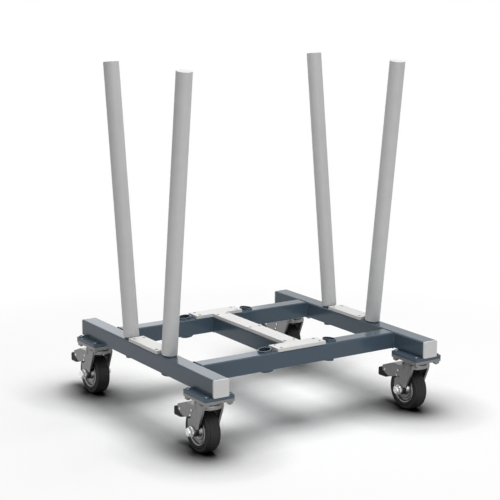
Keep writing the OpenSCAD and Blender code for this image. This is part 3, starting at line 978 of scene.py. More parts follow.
@dataclass(frozen=True)
class HexNut:
    """Template of a chamfered hexagon nut with the bolt's end in it, its seat at the origin.

    Washer, collar and thread start at hidden radii inside the nut. The shares are of the sizes that
    their names begin with.
    """

    half_flats: float
    height: float
    bolt_r: float
    tail: float
    washer_r: float = 0.0
    washer_t: float = 0.0
    collar_r: float = 0.0
    collar_t: float = 0.0
    flats_chamfer_share: float = 0.97
    pitch: float = 1.5 * MM
    pitch_depth_share: float = 0.5
    pitch_crest_shares: FlatPoint = (0.4, 0.6)
    bolt_hidden_share: float = 0.6
    bolt_end_share: float = 0.5
    bolt_mouth_share: float = 1.05
    height_hidden_share: float = 0.2
    depth_end_share: float = 0.3
    washer_hidden_share: float = 0.3
    washer_edge_share: float = 0.2
    collar_hidden_share: float = 0.5
    collar_edge_share: float = 0.45
    collar_mouth_share: float = 0.5

    def rings_of_nut(self) -> list[Ring]:
        """Work out the nut's rings, chamfered at both ends.

        Returns:
            The rings from below.
        """
        low, high = self.washer_t, self.washer_t + self.height
        inner = self.flats_chamfer_share * self.half_flats
        bevelled = {"hexagon": True, "chamfer_from": inner}
        return [Ring(inner, low), Ring(self.half_flats, low, chamfer=-1, **bevelled),
                Ring(self.half_flats, high, chamfer=1, **bevelled), Ring(inner, high)]

    def rings_of_thread(self, top: float) -> list[Ring]:
        """Work out the thread above the nut, as V-shaped grooves with a chamfered end.

        Args:
            top: Height of the nut's upper face.

        Returns:
            The rings from below.
        """
        depth = self.pitch_depth_share * self.pitch
        turns = max(1, int(self.tail / self.pitch))
        rings = []
        for k in range(turns):
            base = top + self.tail * k / turns
            rings.append(Ring(self.bolt_r - depth, base))
            rings += [Ring(self.bolt_r, base + self.tail * share / turns)
                      for share in self.pitch_crest_shares]
        end = top + self.tail
        return [*rings, Ring(self.bolt_r - depth, end),
                Ring(self.bolt_end_share * self.bolt_r, end + self.depth_end_share * depth)]

    def working_mesh(self) -> WorkMesh:
        """Build washer, nut, locking collar and thread.

        Returns:
            One working mesh.
        """
        parts = []
        if self.washer_t:
            hidden = self.washer_hidden_share * self.washer_r
            edge = self.washer_edge_share * self.washer_t
            parts.append(turned([
                (hidden, 0, 0), (self.washer_r, 0, edge), (self.washer_r, self.washer_t, edge),
                (hidden, self.washer_t, 0)]))
        parts.append(stack(self.rings_of_nut()))
        top = self.washer_t + self.height
        if self.collar_t:
            hidden = self.collar_hidden_share * self.collar_r
            mouth = self.bolt_mouth_share * self.bolt_r
            edge, crown = self.collar_edge_share * self.collar_t, top + self.collar_t
            parts.append(turned([
                (hidden, top - edge, 0), (self.collar_r, top - edge, 0),
                (self.collar_r, crown, edge), (mouth, crown, edge / 2),
                (mouth, top + self.collar_mouth_share * self.collar_t, 0)]))
        root = Ring(self.bolt_hidden_share * self.bolt_r,
                    top - self.height_hidden_share * self.height)
        parts.append(stack([root, *self.rings_of_thread(top)], Round.RIVET))
        return joined(parts)

    def mesh(self, name: str) -> Mesh:
        """Build the template's mesh."""
        return finished_mesh(name, self.working_mesh(), FACET_DEG)


# Sub-assemblies


@dataclass
class WeldedFrame:
    """Tubes, sockets, caster plates and the welds between them, in powder coat."""

    edge_mm: float = 0.5
    bead_r: float = 1.8 * MM
    socket_r: float = 20 * MM
    corner_r: float = 5 * MM
    seam_inset: float = 6 * MM
    arc_steps: int = 5
    rim_steps: int = 36
    body: str = "frame"

    def build(self, bead: WeldBead) -> None:
        """Dress the tubes and lay the welds.

        Args:
            bead: Tool that lays the welds.
        """
        for node in ("end_tube_left", "end_tube_right", "long_tube_front", "long_tube_rear",
                     "centre_tube", "post_sockets", "spare_sockets", "caster_mount_plates"):
            mesh = softened(node, self.edge_mm)
            add_piece(f"painted_{node}", mesh, FRAME_PAINT, self.body, [node])
        paths = [(path, True) for path in self.tube_ends() + self.socket_rims()]
        paths += [(path, False) for path in self.plate_seams()]
        mesh = bead.lay(paths, self.bead_r, FRAME_PAINT)
        add_piece("weld_beads", mesh, FRAME_PAINT, self.body)

    def tube_loop(self, centre: Vector, along: Vector) -> list[Vector]:
        """Work out the outline of a tube's section.

        Args:
            centre: Middle of the section.
            along: Horizontal direction in the section's plane.

        Returns:
            Points around the section.
        """
        reach = box_size("centre_tube").x / 2 - self.corner_r
        points = []
        for quarter, (u, v) in enumerate(((1, 1), (-1, 1), (-1, -1), (1, -1))):
            for k in range(self.arc_steps + 1):
                angle = math.pi / 2 * (quarter + k / self.arc_steps)
                points.append(centre + along * (u * reach + self.corner_r * math.cos(angle))
                              + UP * (v * reach + self.corner_r * math.sin(angle)))
        return points

    def tube_ends(self) -> list[list[Vector]]:
        """Find where long tubes meet end tubes and the centre tube meets long tubes.

        Returns:
            A loop for each end.
        """
        loops = []
        for node, axis, along in (("long_tube_front", 0, Vector((0, 1, 0))),
                                  ("long_tube_rear", 0, Vector((0, 1, 0))),
                                  ("centre_tube", 1, ACROSS)):
            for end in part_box(node):
                centre = box_middle(node)
                centre[axis] = end[axis]
                loops.append(self.tube_loop(centre, along))
        return loops

    def socket_rims(self) -> list[list[Vector]]:
        """Find where the leaning sockets come through the tops and undersides of their tubes.

        Returns:
            A ring for each rim.
        """
        rims = []
        sockets = [(box_middle(corner.named("post_pipe")), joint_axis(corner.named("post_lift")))
                   for corner in Corner]
        sockets += [(Vector(mount["pos_m"]), Vector(mount["axis"]))
                    for mount in frame["record"]["mounts"]
                    if mount["name"].startswith("spare_socket")]
        turns = [2 * math.pi * k / self.rim_steps for k in range(self.rim_steps)]
        for place, axis in sockets:
            across = UP.cross(axis).normalized() * self.socket_r
            slope = Vector((axis.x, axis.y, 0)).normalized() * (self.socket_r / axis.z)
            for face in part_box("end_tube_left"):
                centre = place + axis * ((face.z - place.z) / axis.z)
                rims.append([centre + across * math.cos(a) + slope * math.sin(a) for a in turns])
        return rims

    def plate_seams(self) -> list[list[Vector]]:
        """Find the straight seams beside the end tubes, over the caster plates.

        Returns:
            The two ends of each seam.
        """
        seams = []
        half = box_size("centre_tube").x / 2 - self.corner_r / 2
        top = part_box("caster_mount_plates")[1].z
        for corner in Corner:
            low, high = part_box(corner.named("top_plate"))
            x = joint_point(corner.named("swivel_turn")).x
            for side in (-1, 1):
                seams.append([Vector((x + side * half, y, top))
                              for y in (low.y + self.seam_inset, high.y - self.seam_inset)])
        return seams


@dataclass
class Deck:
    """End caps, pad strips and the screws that hold the pads."""

    cap_edge_mm: float = 0.4
    pad_edge_mm: float = 0.5
    pad_inset: float = 16 * MM
    pad_gauge: float = 32 * MM
    seat_depth: float = 4 * MM
    screw: SocketScrew = SocketScrew(
        head_r=4.1 * MM, head_h=1.9 * MM, edge=0.6 * MM, key_r=1.4 * MM, key_depth=1.2 * MM)
    body: str = "frame"

    def build(self, scatter: Scatter) -> None:
        """Dress caps and pads, and set the screws.

        Args:
            scatter: Tool that sets the screws.
        """
        caps = softened("tube_end_caps", self.cap_edge_mm, BLUNT_DEG)
        add_piece("end_caps", caps, CAP_PLASTIC, self.body, ["tube_end_caps"])
        for name in ("left", "right", "front", "rear", "centre"):
            node = f"pad_{name}"
            pad = softened(node, self.pad_edge_mm, BLUNT_DEG)
            add_piece(f"strip_{node}", pad, PAD_PLASTIC, self.body, [node])
        screws = scatter.spread(self.screw.mesh("pad_screw"), self.screw_places(), DULL_ZINC)
        add_piece("pad_screw_heads", screws, DULL_ZINC, self.body, ["pad_screws"])

    def screw_places(self) -> list[Place]:
        """Find the seats of all the pad screws: two at each end of a pad, two more in the long one.

        Returns:
            Each seat, facing up.
        """
        ends = (-1, 1)
        places = []
        for name, rows in (("left", ends), ("right", ends), ("front", ends), ("rear", ends),
                           ("centre", (-1, 0, 1))):
            low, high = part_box(f"pad_{name}")
            middle, size = (low + high) / 2, high - low
            long, short = (0, 1) if size.x > size.y else (1, 0)
            for row in rows:
                for side in (-1, 1):
                    seat = Vector((middle.x, middle.y, high.z - self.seat_depth))
                    seat[long] += row * (size[long] / 2 - self.pad_inset)
                    seat[short] += side * self.pad_gauge / 2
                    places.append((seat, UP))
        return places


@dataclass
class Post:
    """A leaning post: an extruded sleeve with a closed, crisp top over its steel pipe."""

    corner: Corner
    sleeve_l: float = 800 * MM
    stub_l: float = 60 * MM
    top_t: float = 6 * MM
    top_edge: float = 1.2 * MM
    foot_edge: float = 0.8 * MM
    skirt: float = 2.6 * MM
    skirt_r: float = 20.3 * MM
    hidden_share: float = 0.05  # of the pipe's radius, where the closed top's underside ends
    top_share: float = 0.02  # of the sleeve's radius, where the top's middle face starts

    def build(self) -> None:
        """Turn the sleeve and stand it on its socket."""
        corner = self.corner
        axis = joint_axis(corner.named("post_lift"))
        pipe = corner.named("post_pipe")
        pipe_size = box_size(pipe)
        pipe_r = pipe_size.x / 2
        pipe_l = (pipe_size.z - pipe_size.x * abs(axis.y)) / axis.z
        sleeve_r = box_size(corner.named("post_sleeve")).x / 2
        foot = box_middle(pipe) + axis * (self.stub_l - pipe_l / 2)
        inside = self.sleeve_l - self.top_t
        outline = [
            (self.hidden_share * pipe_r, inside, 0), (pipe_r, inside, 0), (pipe_r, 0, 0),
            (self.skirt_r, 0, 0), (self.skirt_r, -self.skirt, 0),
            (sleeve_r, -self.skirt, self.foot_edge), (sleeve_r, self.sleeve_l, self.top_edge),
            (self.top_share * sleeve_r, self.sleeve_l, 0)]
        sleeve = moved(turned(outline, Round.WHEEL), standing_on(foot, axis))
        add_piece(corner.named("sleeve"), finished_mesh("sleeve", sleeve),
                  POST_PLASTIC[corner.side[1]], corner.named("post"),
                  [corner.named("post_sleeve")])


@dataclass
class ForkForm:
    """Fork bent from one sheet, around the swivel's axis, with the floor at zero height.

    Side view points are shares of the leg's length and of the height from axle to crown. Rivet
    steps are shares of the rivet's radius and height, with the fillet in millimetres.
    """

    trail: float
    axle_z: float
    crown_z: float
    pivot: FlatPoint
    width: float = 68 * MM
    sheet: float = 4 * MM
    bend: float = 8 * MM
    flange: float = 7 * MM
    leg_l: float = 34 * MM
    end_r: float = 15 * MM
    end_arc_deg: FlatPoint = (143, 360)
    end_steps: int = 14
    boss_t: float = 2.5 * MM
    boss_edge: float = 0.4 * MM
    boss_hidden_share: float = 0.2
    head_r: float = 37 * MM
    head_edge: float = 6 * MM
    head_middle_share: float = 0.02
    skirt: float = 14 * MM
    race_r: float = 27 * MM
    race_half: float = 7 * MM
    race_t: float = 2 * MM
    ball_z: float = 3.5 * MM
    groove_r: float = 4.3 * MM
    groove_steps: int = 20
    king_bore_r: float = 8.3 * MM
    axle_bore_r: float = 6.3 * MM
    pin_r: float = 4 * MM
    pin_from: float = 22 * MM
    pin_hidden_share: float = 0.1
    rivet_r: float = 6 * MM
    rivet_t: float = 2 * MM
    rivet_steps: tuple[Point, ...] = ((1, 0, 0), (1, 0.4, 0.3), (0.5, 1, 0.6), (0.1, 1, 0))
    lobe_span: FlatPoint = (27 * MM, 32 * MM)
    front_shares: tuple[FlatPoint, ...] = (
        (-0.62, 1), (-0.62, 0.84), (-0.5, 0.7), (-0.18, 0.43), (0, 0.27), (0.1, 0.14))
    rear_shares: tuple[FlatPoint, ...] = (
        (1.41, 0.246), (1.12, 0.406), (1, 0.543), (0.79, 0.703), (0.765, 1))
    lobe_shares: tuple[FlatPoint, ...] = (
        (0.9, 0.43), (1.81, 0.33), (1.82, 0.11), (1.7, 0.075), (1.3, 0.154))

    def points(self, shares: Sequence[FlatPoint]) -> list[FlatPoint]:
        """Side view points from their shares."""
        rise = self.crown_z - self.axle_z
        return [(self.trail + (u - 1) * self.leg_l, self.axle_z + v * rise) for u, v in shares]

    def leg(self) -> list[FlatPoint]:
        """Work out the side view of a leg, with its round end about the axle.

        Returns:
            Points around the leg.
        """
        start, end = (math.radians(angle) for angle in self.end_arc_deg)
        arc = [start + (end - start) * k / self.end_steps for k in range(self.end_steps + 1)]
        around = [(self.trail + self.end_r * math.cos(a), self.axle_z + self.end_r * math.sin(a))
                  for a in arc]
        return [*self.points(self.front_shares), *around, *self.points(self.rear_shares)]

    def channel(self, side_t: float) -> WorkMesh:
        """Bend crown and legs from one sheet, before their side view is cut.

        Args:
            side_t: Thickness of the sides.

        Returns:
            The channel.
        """
        x, top, inner = self.width / 2, self.crown_z, self.crown_z - self.sheet
        outer_bend = filleted([(-x, 0, 0), (-x, top, self.bend), (x, top, self.bend), (x, 0, 0)])
        x -= side_t
        bend = self.bend - self.sheet
        inner_bend = filleted([(x, 0, 0), (x, inner, bend), (-x, inner, bend), (-x, 0, 0)])
        reach = 3 * self.leg_l
        return drawn_out([*outer_bend, *inner_bend], -reach, reach, View.END)

    def legs(self) -> WorkMesh:
        """Cut two legs with the crown's bend, and the turned-in strip along their front.

        Returns:
            The legs with their strip.
        """
        side = drawn_out(self.leg(), -self.width, self.width, View.SIDE)
        legs = combined(Join.SHARE, self.channel(self.sheet), side)
        edge = self.points(self.front_shares[:-1])
        behind = ((y + self.sheet, z) for y, z in reversed(edge))
        strip = drawn_out([*edge, *behind], -self.width, self.width, View.SIDE)
        turned_in = combined(Join.SHARE, self.channel(self.flange), strip)
        return combined(Join.ADD, legs, turned_in)

    def head(self) -> WorkMesh:
        """Turn the round head, whose skirt hangs down around the front.

        Returns:
            The head.
        """
        top, under, low = self.crown_z, self.crown_z - self.sheet, self.crown_z - self.skirt
        inner, reach = self.head_r - self.sheet, 2 * self.head_r
        middle = self.head_middle_share * self.head_r
        dish = turned([
            (middle, under, 0), (inner, under, self.head_edge - self.sheet), (inner, low, 0),
            (self.head_r, low, 0), (self.head_r, top, self.head_edge), (middle, top, 0)],
            Round.WHEEL)
        above, below = top + self.sheet, low - self.sheet
        kept = [(-reach, below), (0, below), (0, under), (reach, under), (reach, above),
                (-reach, above)]
        return combined(Join.SHARE, dish,
                        drawn_out(kept, -self.width / 2, self.width / 2, View.SIDE))

    def studs(self) -> list[WorkMesh]:
        """Turn the bosses about the axle, and the pins and rivet heads of the brake's pivot.

        Returns:
            Two of each, on both sides.
        """
        x = self.width / 2
        boss_x, root_x, boss_r = x + self.boss_t, x - self.sheet / 2, self.end_r - self.boss_t / 2
        hidden = self.boss_hidden_share * self.end_r
        boss = [(hidden, root_x, 0), (boss_r, root_x, 0), (boss_r, x, 0),
                (self.end_r - self.boss_t, boss_x, self.boss_edge), (hidden, boss_x, 0)]
        pin = [(self.pin_hidden_share * self.pin_r, self.pin_from, 0),
               (self.pin_r, self.pin_from, 0), (self.pin_r, x, 0)]
        pin += [(u * self.rivet_r, x + v * self.rivet_t, fillet * MM)
                for u, v, fillet in self.rivet_steps]
        return [moved(turned(outline, Round.BORE), standing_on((0, *place), ACROSS * side))
                for side in (-1, 1)
                for place, outline in (((self.trail, self.axle_z), boss), (self.pivot, pin))]

    def bores(self) -> list[WorkMesh]:
        """Make the cutters for the king pin's and the axle's holes and for the balls' groove.

        Returns:
            The three cutters.
        """
        turns = [2 * math.pi * k / self.groove_steps for k in range(self.groove_steps)]
        middle = self.crown_z + self.ball_z
        groove = [Ring(self.race_r + self.groove_r * math.cos(a),
                       middle + self.groove_r * math.sin(a)) for a in turns]
        low, high = self.crown_z - 2 * self.sheet, self.crown_z + 2 * self.sheet
        axle = bore(self.axle_bore_r, -2 * self.width, 2 * self.width)
        return [bore(self.king_bore_r, low, high),
                moved(axle, standing_on((0, self.trail, self.axle_z), ACROSS)),
                stack(groove, Round.WHEEL, closed=True)]

    def body(self) -> WorkMesh:
        """Build the whole fork.

        Returns:
            The fork.
        """
        inner, outer = self.race_r - self.race_half, self.race_r + self.race_half
        base, top = self.crown_z - self.sheet / 2, self.crown_z + self.race_t
        race = stack([Ring(inner, base), Ring(outer, base), Ring(outer, top), Ring(inner, top)],
                     Round.WHEEL, closed=True)
        near, far = self.lobe_span
        lobes = [drawn_out(self.points(self.lobe_shares), low, high, View.SIDE)
                 for low, high in ((-far, -near), (near, far))]
        whole = combined(Join.ADD, self.legs(), self.head(), *lobes, race, *self.studs())
        return combined(Join.TAKE, whole, *self.bores())


@dataclass
class Caster:
    """A swivel caster with its wheel and brake, at one corner.

    Side view points of lever and pedal are shares of the lever's length and height from its pivot.
    Steps of tyre and rim are half a section in millimetres, each with the radius of its fillet:
    bead steps lie outside the bead's radius and tread steps inside the wheel's, both with a depth
    below the tyre's side, and rim steps have their radius and their distance from the middle.
    Rivet steps are shares of the rivet's radius, with the fillet in millimetres.
    """

    corner: Corner
    sheet_edge_mm: float = 0.5
    wheel_w: float = 42 * MM
    bead_r: float = 44 * MM
    bead_steps: tuple[Point, ...] = ((0, 1.4, 0.4), (1.2, 0, 0.8), (4.5, 0, 0.8), (5.4, 0.8, 1))
    tread_steps: tuple[Point, ...] = (
        (7.5, 0.8, 1), (6.5, 0, 1), (1.2, 1, 4.5), (0.4, 6, 0.4), (1.1, 6.6, 0.3), (1.1, 7.4, 0.3),
        (0, 8, 0.4))
    tyre_sharp_deg: float = 45.0
    rim_steps: tuple[Point, ...] = (
        (17.4, 17.6, 1), (19.8, 13.4, 1.2), (22.4, 13.4, 1), (24, 16, 1), (26.2, 16, 1),
        (27.8, 12, 1), (30.2, 12, 1), (31.8, 15.8, 1), (33.8, 15.8, 1), (35.4, 11.6, 1),
        (36.8, 11.9, 1), (39, 19.6, 1.2), (40.2, 20.6, 0.8), (42.6, 20.6, 1))
    rim_w_shares: FlatPoint = (0.97, 0.94)
    hub_edges: FlatPoint = (0.3 * MM, 0.8 * MM)
    lip_edge: float = 0.5 * MM
    hub_r: float = 15.4 * MM
    bush_r: float = 12.4 * MM
    axle_r: float = 6 * MM
    spacer_t: float = 2 * MM
    spacer_inset: float = 2 * MM
    spacer_edge: float = 0.2 * MM
    washer_r: float = 15 * MM
    washer_t: float = 2.5 * MM
    nut_half_flats: float = 12 * MM
    nut_t: float = 8.4 * MM
    collar_r: float = 10.2 * MM
    collar_t: float = 2.4 * MM
    thread_dip: float = 0.4 * MM
    lever_l: float = 111 * MM
    lever_h: float = 58 * MM
    lever_cut_shares: tuple[FlatPoint, ...] = (
        (1.1, -0.66), (1, -0.66), (0.77, -0.85), (0.62, -0.87), (0.62, -1.1), (1.1, -1.1))
    stud_t: float = 1.2 * MM
    rivet_r: float = 3.0 * MM
    rivet_steps: tuple[Point, ...] = (
        (0.05, -0.1, 0), (1, -0.1, 0), (1, 0.05, 0.1), (0.6, 0.2, 0.6), (0.02, 0.22, 0))
    stud_shares: tuple[FlatPoint, ...] = ((0.315, -0.36), (0.37, -0.64))
    rivet_share: FlatPoint = (0.9, -0.58)
    pedal_l: float = 18 * MM
    pedal_gap: float = 1.5 * MM
    pedal_wall: float = 2 * MM
    press_deg: float = 10.0
    pedal_tip_shares: tuple[FlatPoint, ...] = (
        (0, -0.52), (0.75, -0.54), (1, -0.61), (1, -0.94), (0.8, -0.985))
    pedal_under_shares: tuple[FlatPoint, ...] = (
        (0.85, -0.975), (0.692, -0.88), (0.692, -0.85), (0.77, -0.85), (1, -0.66))
    grip_size: FlatPoint = (1.4 * MM, 1.2 * MM)
    grip_edge: float = 0.35 * MM
    grip_w_share: float = 0.8
    grip_shares: Point = (0.2, 0.5, 0.8)
    dust_r: float = 36 * MM
    dust_t: float = 1.5 * MM
    dust_edge: float = 0.3 * MM
    dust_rise: FlatPoint = (0.4 * MM, 9.9 * MM)

    def build(self, scatter: Scatter) -> None:
        """Build every piece of the caster.

        Args:
            scatter: Tool that sets rivets and grip ribs.
        """
        corner = self.corner
        for kind, source, finish, body in (
                ("top_plate", corner.named("top_plate"), CASTER_ZINC, "frame"),
                ("fork", self.fork(), CASTER_ZINC, corner.named("swivel")),
                ("brake_lever", self.lever(), CASTER_ZINC, corner.named("brake")),
                ("brake_pedal", self.pedal(), PEDAL_PLASTIC, corner.named("brake"))):
            node = corner.named(kind)
            mesh = softened(source, self.sheet_edge_mm)
            add_piece(f"formed_{node}", mesh, finish, body, [node])
        self.dust_ring()
        self.tyre()
        self.rim()
        self.axle()
        self.lever_rivets(scatter)
        self.pedal_grip(scatter)

    def fork(self) -> WorkMesh:
        """Copy the fork's form to this corner; it is built for the first caster.

        Returns:
            The fork in its place.
        """
        swivel, wheel, pivot = (joint_point(self.corner.named(kind))
                                for kind in ("swivel_turn", "wheel_roll", "brake_press"))
        form = bpy.data.meshes.get("fork_form")
        if not form:
            shape = ForkForm(wheel.y - swivel.y, wheel.z, swivel.z, (pivot.y - swivel.y, pivot.z))
            form = finished_mesh("fork_form", shape.body())
        return moved(working_copy(form), Matrix.Translation((swivel.x, swivel.y, 0)))

    def brake_point(self, share: FlatPoint) -> FlatPoint:
        """Side view point of lever or pedal, from its shares of the lever's length and height."""
        pivot = joint_point(self.corner.named("brake_press"))
        return pivot.y + share[0] * self.lever_l, pivot.z + share[1] * self.lever_h

    def lever(self) -> WorkMesh:
        """Copy the lever's channel, and cut off the lower corner at its end.

        Returns:
            The lever.
        """
        node = self.corner.named("brake_lever")
        x, half = box_middle(node).x, box_size(node).x
        corner = [self.brake_point(share) for share in self.lever_cut_shares]
        cut = drawn_out(corner, x - half, x + half, View.SIDE)
        return combined(Join.TAKE, working_copy(frame["nodes"][node].data), cut)

    def pedal(self) -> WorkMesh:
        """Close the lever's end, and hollow it by the tyre's place when the brake is pressed.

        Returns:
            The pedal.
        """
        node = self.corner.named("brake_pedal")
        x, half = box_middle(node).x, box_size(node).x / 2
        end_y = self.brake_point((1, 0))[0]
        outline = [(end_y + u * self.pedal_l, self.brake_point((1, v))[1])
                   for u, v in self.pedal_tip_shares]
        outline += [self.brake_point(share) for share in self.pedal_under_shares]
        pivot, wheel = (joint_point(self.corner.named(kind))
                        for kind in ("brake_press", "wheel_roll"))
        pressed = Matrix.Rotation(math.radians(self.press_deg), 3, "X") @ (wheel - pivot) + pivot
        inside = half - self.pedal_wall
        room = moved(bore(wheel.z + self.pedal_gap, -inside, inside, Round.CUT),
                     standing_on((x, pressed.y, pressed.z), ACROSS))
        return combined(Join.TAKE, drawn_out(outline, x - half, x + half, View.SIDE), room)

    def dust_ring(self) -> None:
        """Thin ring that keeps dust from the balls, hanging from the top plate around the race."""
        corner = self.corner
        low, high = self.dust_rise
        inner = self.dust_r - self.dust_t
        ring = turned_ring([
            (inner, low, 0), (self.dust_r, low, self.dust_edge),
            (self.dust_r, high, self.dust_edge), (inner, high, 0)], Round.WHEEL)
        place = Matrix.Translation(joint_point(corner.named("swivel_turn")))
        mesh = finished_mesh("dust_ring", moved(ring, place))
        add_piece(corner.named("dust_ring"), mesh, CASTER_ZINC, "frame")

    def on_axle(self, mesh: WorkMesh) -> WorkMesh:
        """Lay a turned mesh along the wheel's axle."""
        place = joint_point(self.corner.named("wheel_roll"))
        return moved(mesh, standing_on(place, ACROSS))

    def wheel_part(self, half: Sequence[Point]) -> WorkMesh:
        """Turn a part of the wheel from half its section.

        Args:
            half: Outline of the half at positive height, its inner end first.

        Returns:
            The part in its place.
        """
        mirrored = [(radius, -height, fillet) for radius, height, fillet in reversed(half)]
        return self.on_axle(turned_ring([*half, *mirrored], Round.WHEEL))

    def tyre(self) -> None:
        """Solid tyre: round shoulders, a groove beside each, a sunk sidewall and a bead ring."""
        corner = self.corner
        wheel_r = joint_point(corner.named("wheel_roll")).z
        half = self.wheel_w / 2
        outline = [(start + sign * past * MM, half - depth * MM, fillet * MM)
                   for start, sign, steps in ((self.bead_r, 1, self.bead_steps),
                                              (wheel_r, -1, self.tread_steps))
                   for past, depth, fillet in steps]
        mesh = finished_mesh("tyre", self.wheel_part(outline), self.tyre_sharp_deg)
        add_piece(corner.named("solid_tyre"), mesh, TYRE_RUBBER, corner.named("wheel"),
                  [corner.named("tyre")])

    def rim(self) -> None:
        """Pressed rim with its concentric steps and a rolled lip."""
        corner = self.corner
        hub_x, lip_x = (share * self.wheel_w / 2 for share in self.rim_w_shares)
        inner_edge, outer_edge = self.hub_edges
        outline = [(self.bush_r, hub_x, inner_edge), (self.hub_r, hub_x, outer_edge)]
        outline += [(radius * MM, height * MM, fillet * MM)
                    for radius, height, fillet in self.rim_steps]
        outline.append((self.bead_r, lip_x, self.lip_edge))
        mesh = finished_mesh("rim", self.wheel_part(outline), BLUNT_DEG)
        add_piece(corner.named("pressed_rim"), mesh, RIM_STEEL, corner.named("wheel"),
                  [corner.named("rim")])

    def axle(self) -> None:
        """Axle bolt with washer, locknut and thread end on each side, and its spacer sleeve."""
        corner = self.corner
        reach = box_size(corner.named("fork")).x / 2 - self.spacer_inset
        nut = HexNut(self.nut_half_flats, self.nut_t, self.axle_r, self.collar_t - self.thread_dip,
                     self.washer_r, self.washer_t, self.collar_r, self.collar_t)
        seat = box_size(corner.named("axle")).x / 2 - self.washer_t - self.nut_t - self.collar_t
        parts = [moved(nut.working_mesh(), standing_on(UP * side * seat, UP * side))
                 for side in (-1, 1)]
        sleeve_r, hidden, edge = self.axle_r + self.spacer_t, self.axle_r / 2, self.spacer_edge
        parts.append(turned([(hidden, -reach, 0), (sleeve_r, -reach, edge),
                             (sleeve_r, reach, edge), (hidden, reach, 0)]))
        mesh = finished_mesh("axle", self.on_axle(joined(parts)), FACET_DEG)
        add_piece(corner.named("axle_set"), mesh, BRIGHT_ZINC, corner.named("swivel"),
                  [corner.named("axle")])

    def lever_rivets(self, scatter: Scatter) -> None:
        """Set bright rivets on the lever's sides: two over studs in its sheet, one on the sheet.

        Args:
            scatter: Tool that sets them.
        """
        corner = self.corner
        pivot = joint_point(corner.named("brake_press"))
        half = box_size(corner.named("brake_lever")).x / 2
        head = turned([(u * self.rivet_r, v * self.rivet_r, fillet * MM)
                       for u, v, fillet in self.rivet_steps], Round.RIVET)
        seats = [(half, share) for share in self.stud_shares]
        seats.append((half - self.stud_t, self.rivet_share))
        places = [(Vector((pivot.x + side * x, *self.brake_point(share))), ACROSS * side)
                  for side in (-1, 1) for x, share in seats]
        mesh = scatter.spread(finished_mesh("rivet_head", head), places, BRIGHT_ZINC)
        add_piece(corner.named("lever_rivets"), mesh, BRIGHT_ZINC, corner.named("brake"))

    def pedal_grip(self, scatter: Scatter) -> None:
        """Set grip ribs across the top of the pedal's end.

        Args:
            scatter: Tool that sets them.
        """
        corner = self.corner
        low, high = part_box(corner.named("brake_pedal"))
        x = (low.x + high.x) / 2
        front, back = (Vector((x, high.y - (1 - u) * self.pedal_l, self.brake_point((1, v))[1]))
                       for u, v in self.pedal_tip_shares[:2])
        along = (back - front).normalized()
        bar = bmesh.new()
        bmesh.ops.create_cube(bar, size=1.0)
        moved(bar, Matrix.Diagonal((self.grip_w_share * (high.x - low.x), *self.grip_size, 1.0)))
        bmesh.ops.bevel(bar, geom=bar.edges[:], offset=self.grip_edge, segments=ROUNDING_STEPS,
                        affect="EDGES")
        places = [(front.lerp(back, share), Vector((0, -along.z, along.y)))
                  for share in self.grip_shares]
        mesh = scatter.spread(finished_mesh("grip_bar", bar), places, PEDAL_PLASTIC, spin=0.0)
        add_piece(corner.named("pedal_grip"), mesh, PEDAL_PLASTIC, corner.named("brake"))


@dataclass
class PlateBolts:
    """The bolts through the caster plates: low domed heads above, hexagon nuts below."""

    pitch_x: float = 74 * MM
    pitch_y: float = 95 * MM
    head: SocketScrew = SocketScrew(
        head_r=8 * MM, head_h=4.5 * MM, edge=0.8 * MM, key_r=2.9 * MM, key_depth=2.6 * MM,
        dome=3.0 * MM)
    nut: HexNut = HexNut(half_flats=8.5 * MM, height=8 * MM, bolt_r=5 * MM, tail=3 * MM)
    body: str = "frame"

    def build(self, scatter: Scatter) -> None:
        """Set heads and nuts.

        Args:
            scatter: Tool that sets them.
        """
        top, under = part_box("caster_mount_plates")[1].z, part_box("caster_nuts")[1].z
        heads, nuts = [], []
        for corner in Corner:
            swivel = joint_point(corner.named("swivel_turn"))
            for u in (-1, 1):
                for v in (-1, 1):
                    x, y = swivel.x + u * self.pitch_x / 2, swivel.y + v * self.pitch_y / 2
                    heads.append((Vector((x, y, top)), UP))
                    nuts.append((Vector((x, y, under)), -UP))
        mesh = scatter.spread(self.head.mesh("bolt_head"), heads, FRAME_PAINT)
        add_piece("plate_bolt_heads", mesh, FRAME_PAINT, self.body, ["caster_bolts"])
        mesh = scatter.spread(self.nut.mesh("plate_nut"), nuts, CASTER_ZINC)
        add_piece("plate_nuts", mesh, CASTER_ZINC, self.body, ["caster_nuts"])


def dress_cad_nodes() -> None:
    """Give every CAD node the material of its slot; the shown ones keep their shape."""
    slots = {part["node"]: part["material_slot"] for part in frame["record"]["subparts"]}
    for name, node in frame["nodes"].items():
        finish = DULL_ZINC if name == "king_pins" else SLOT_FINISHES[slots[name]]
        node.data.materials.clear()
        node.data.materials.append(finish.material())


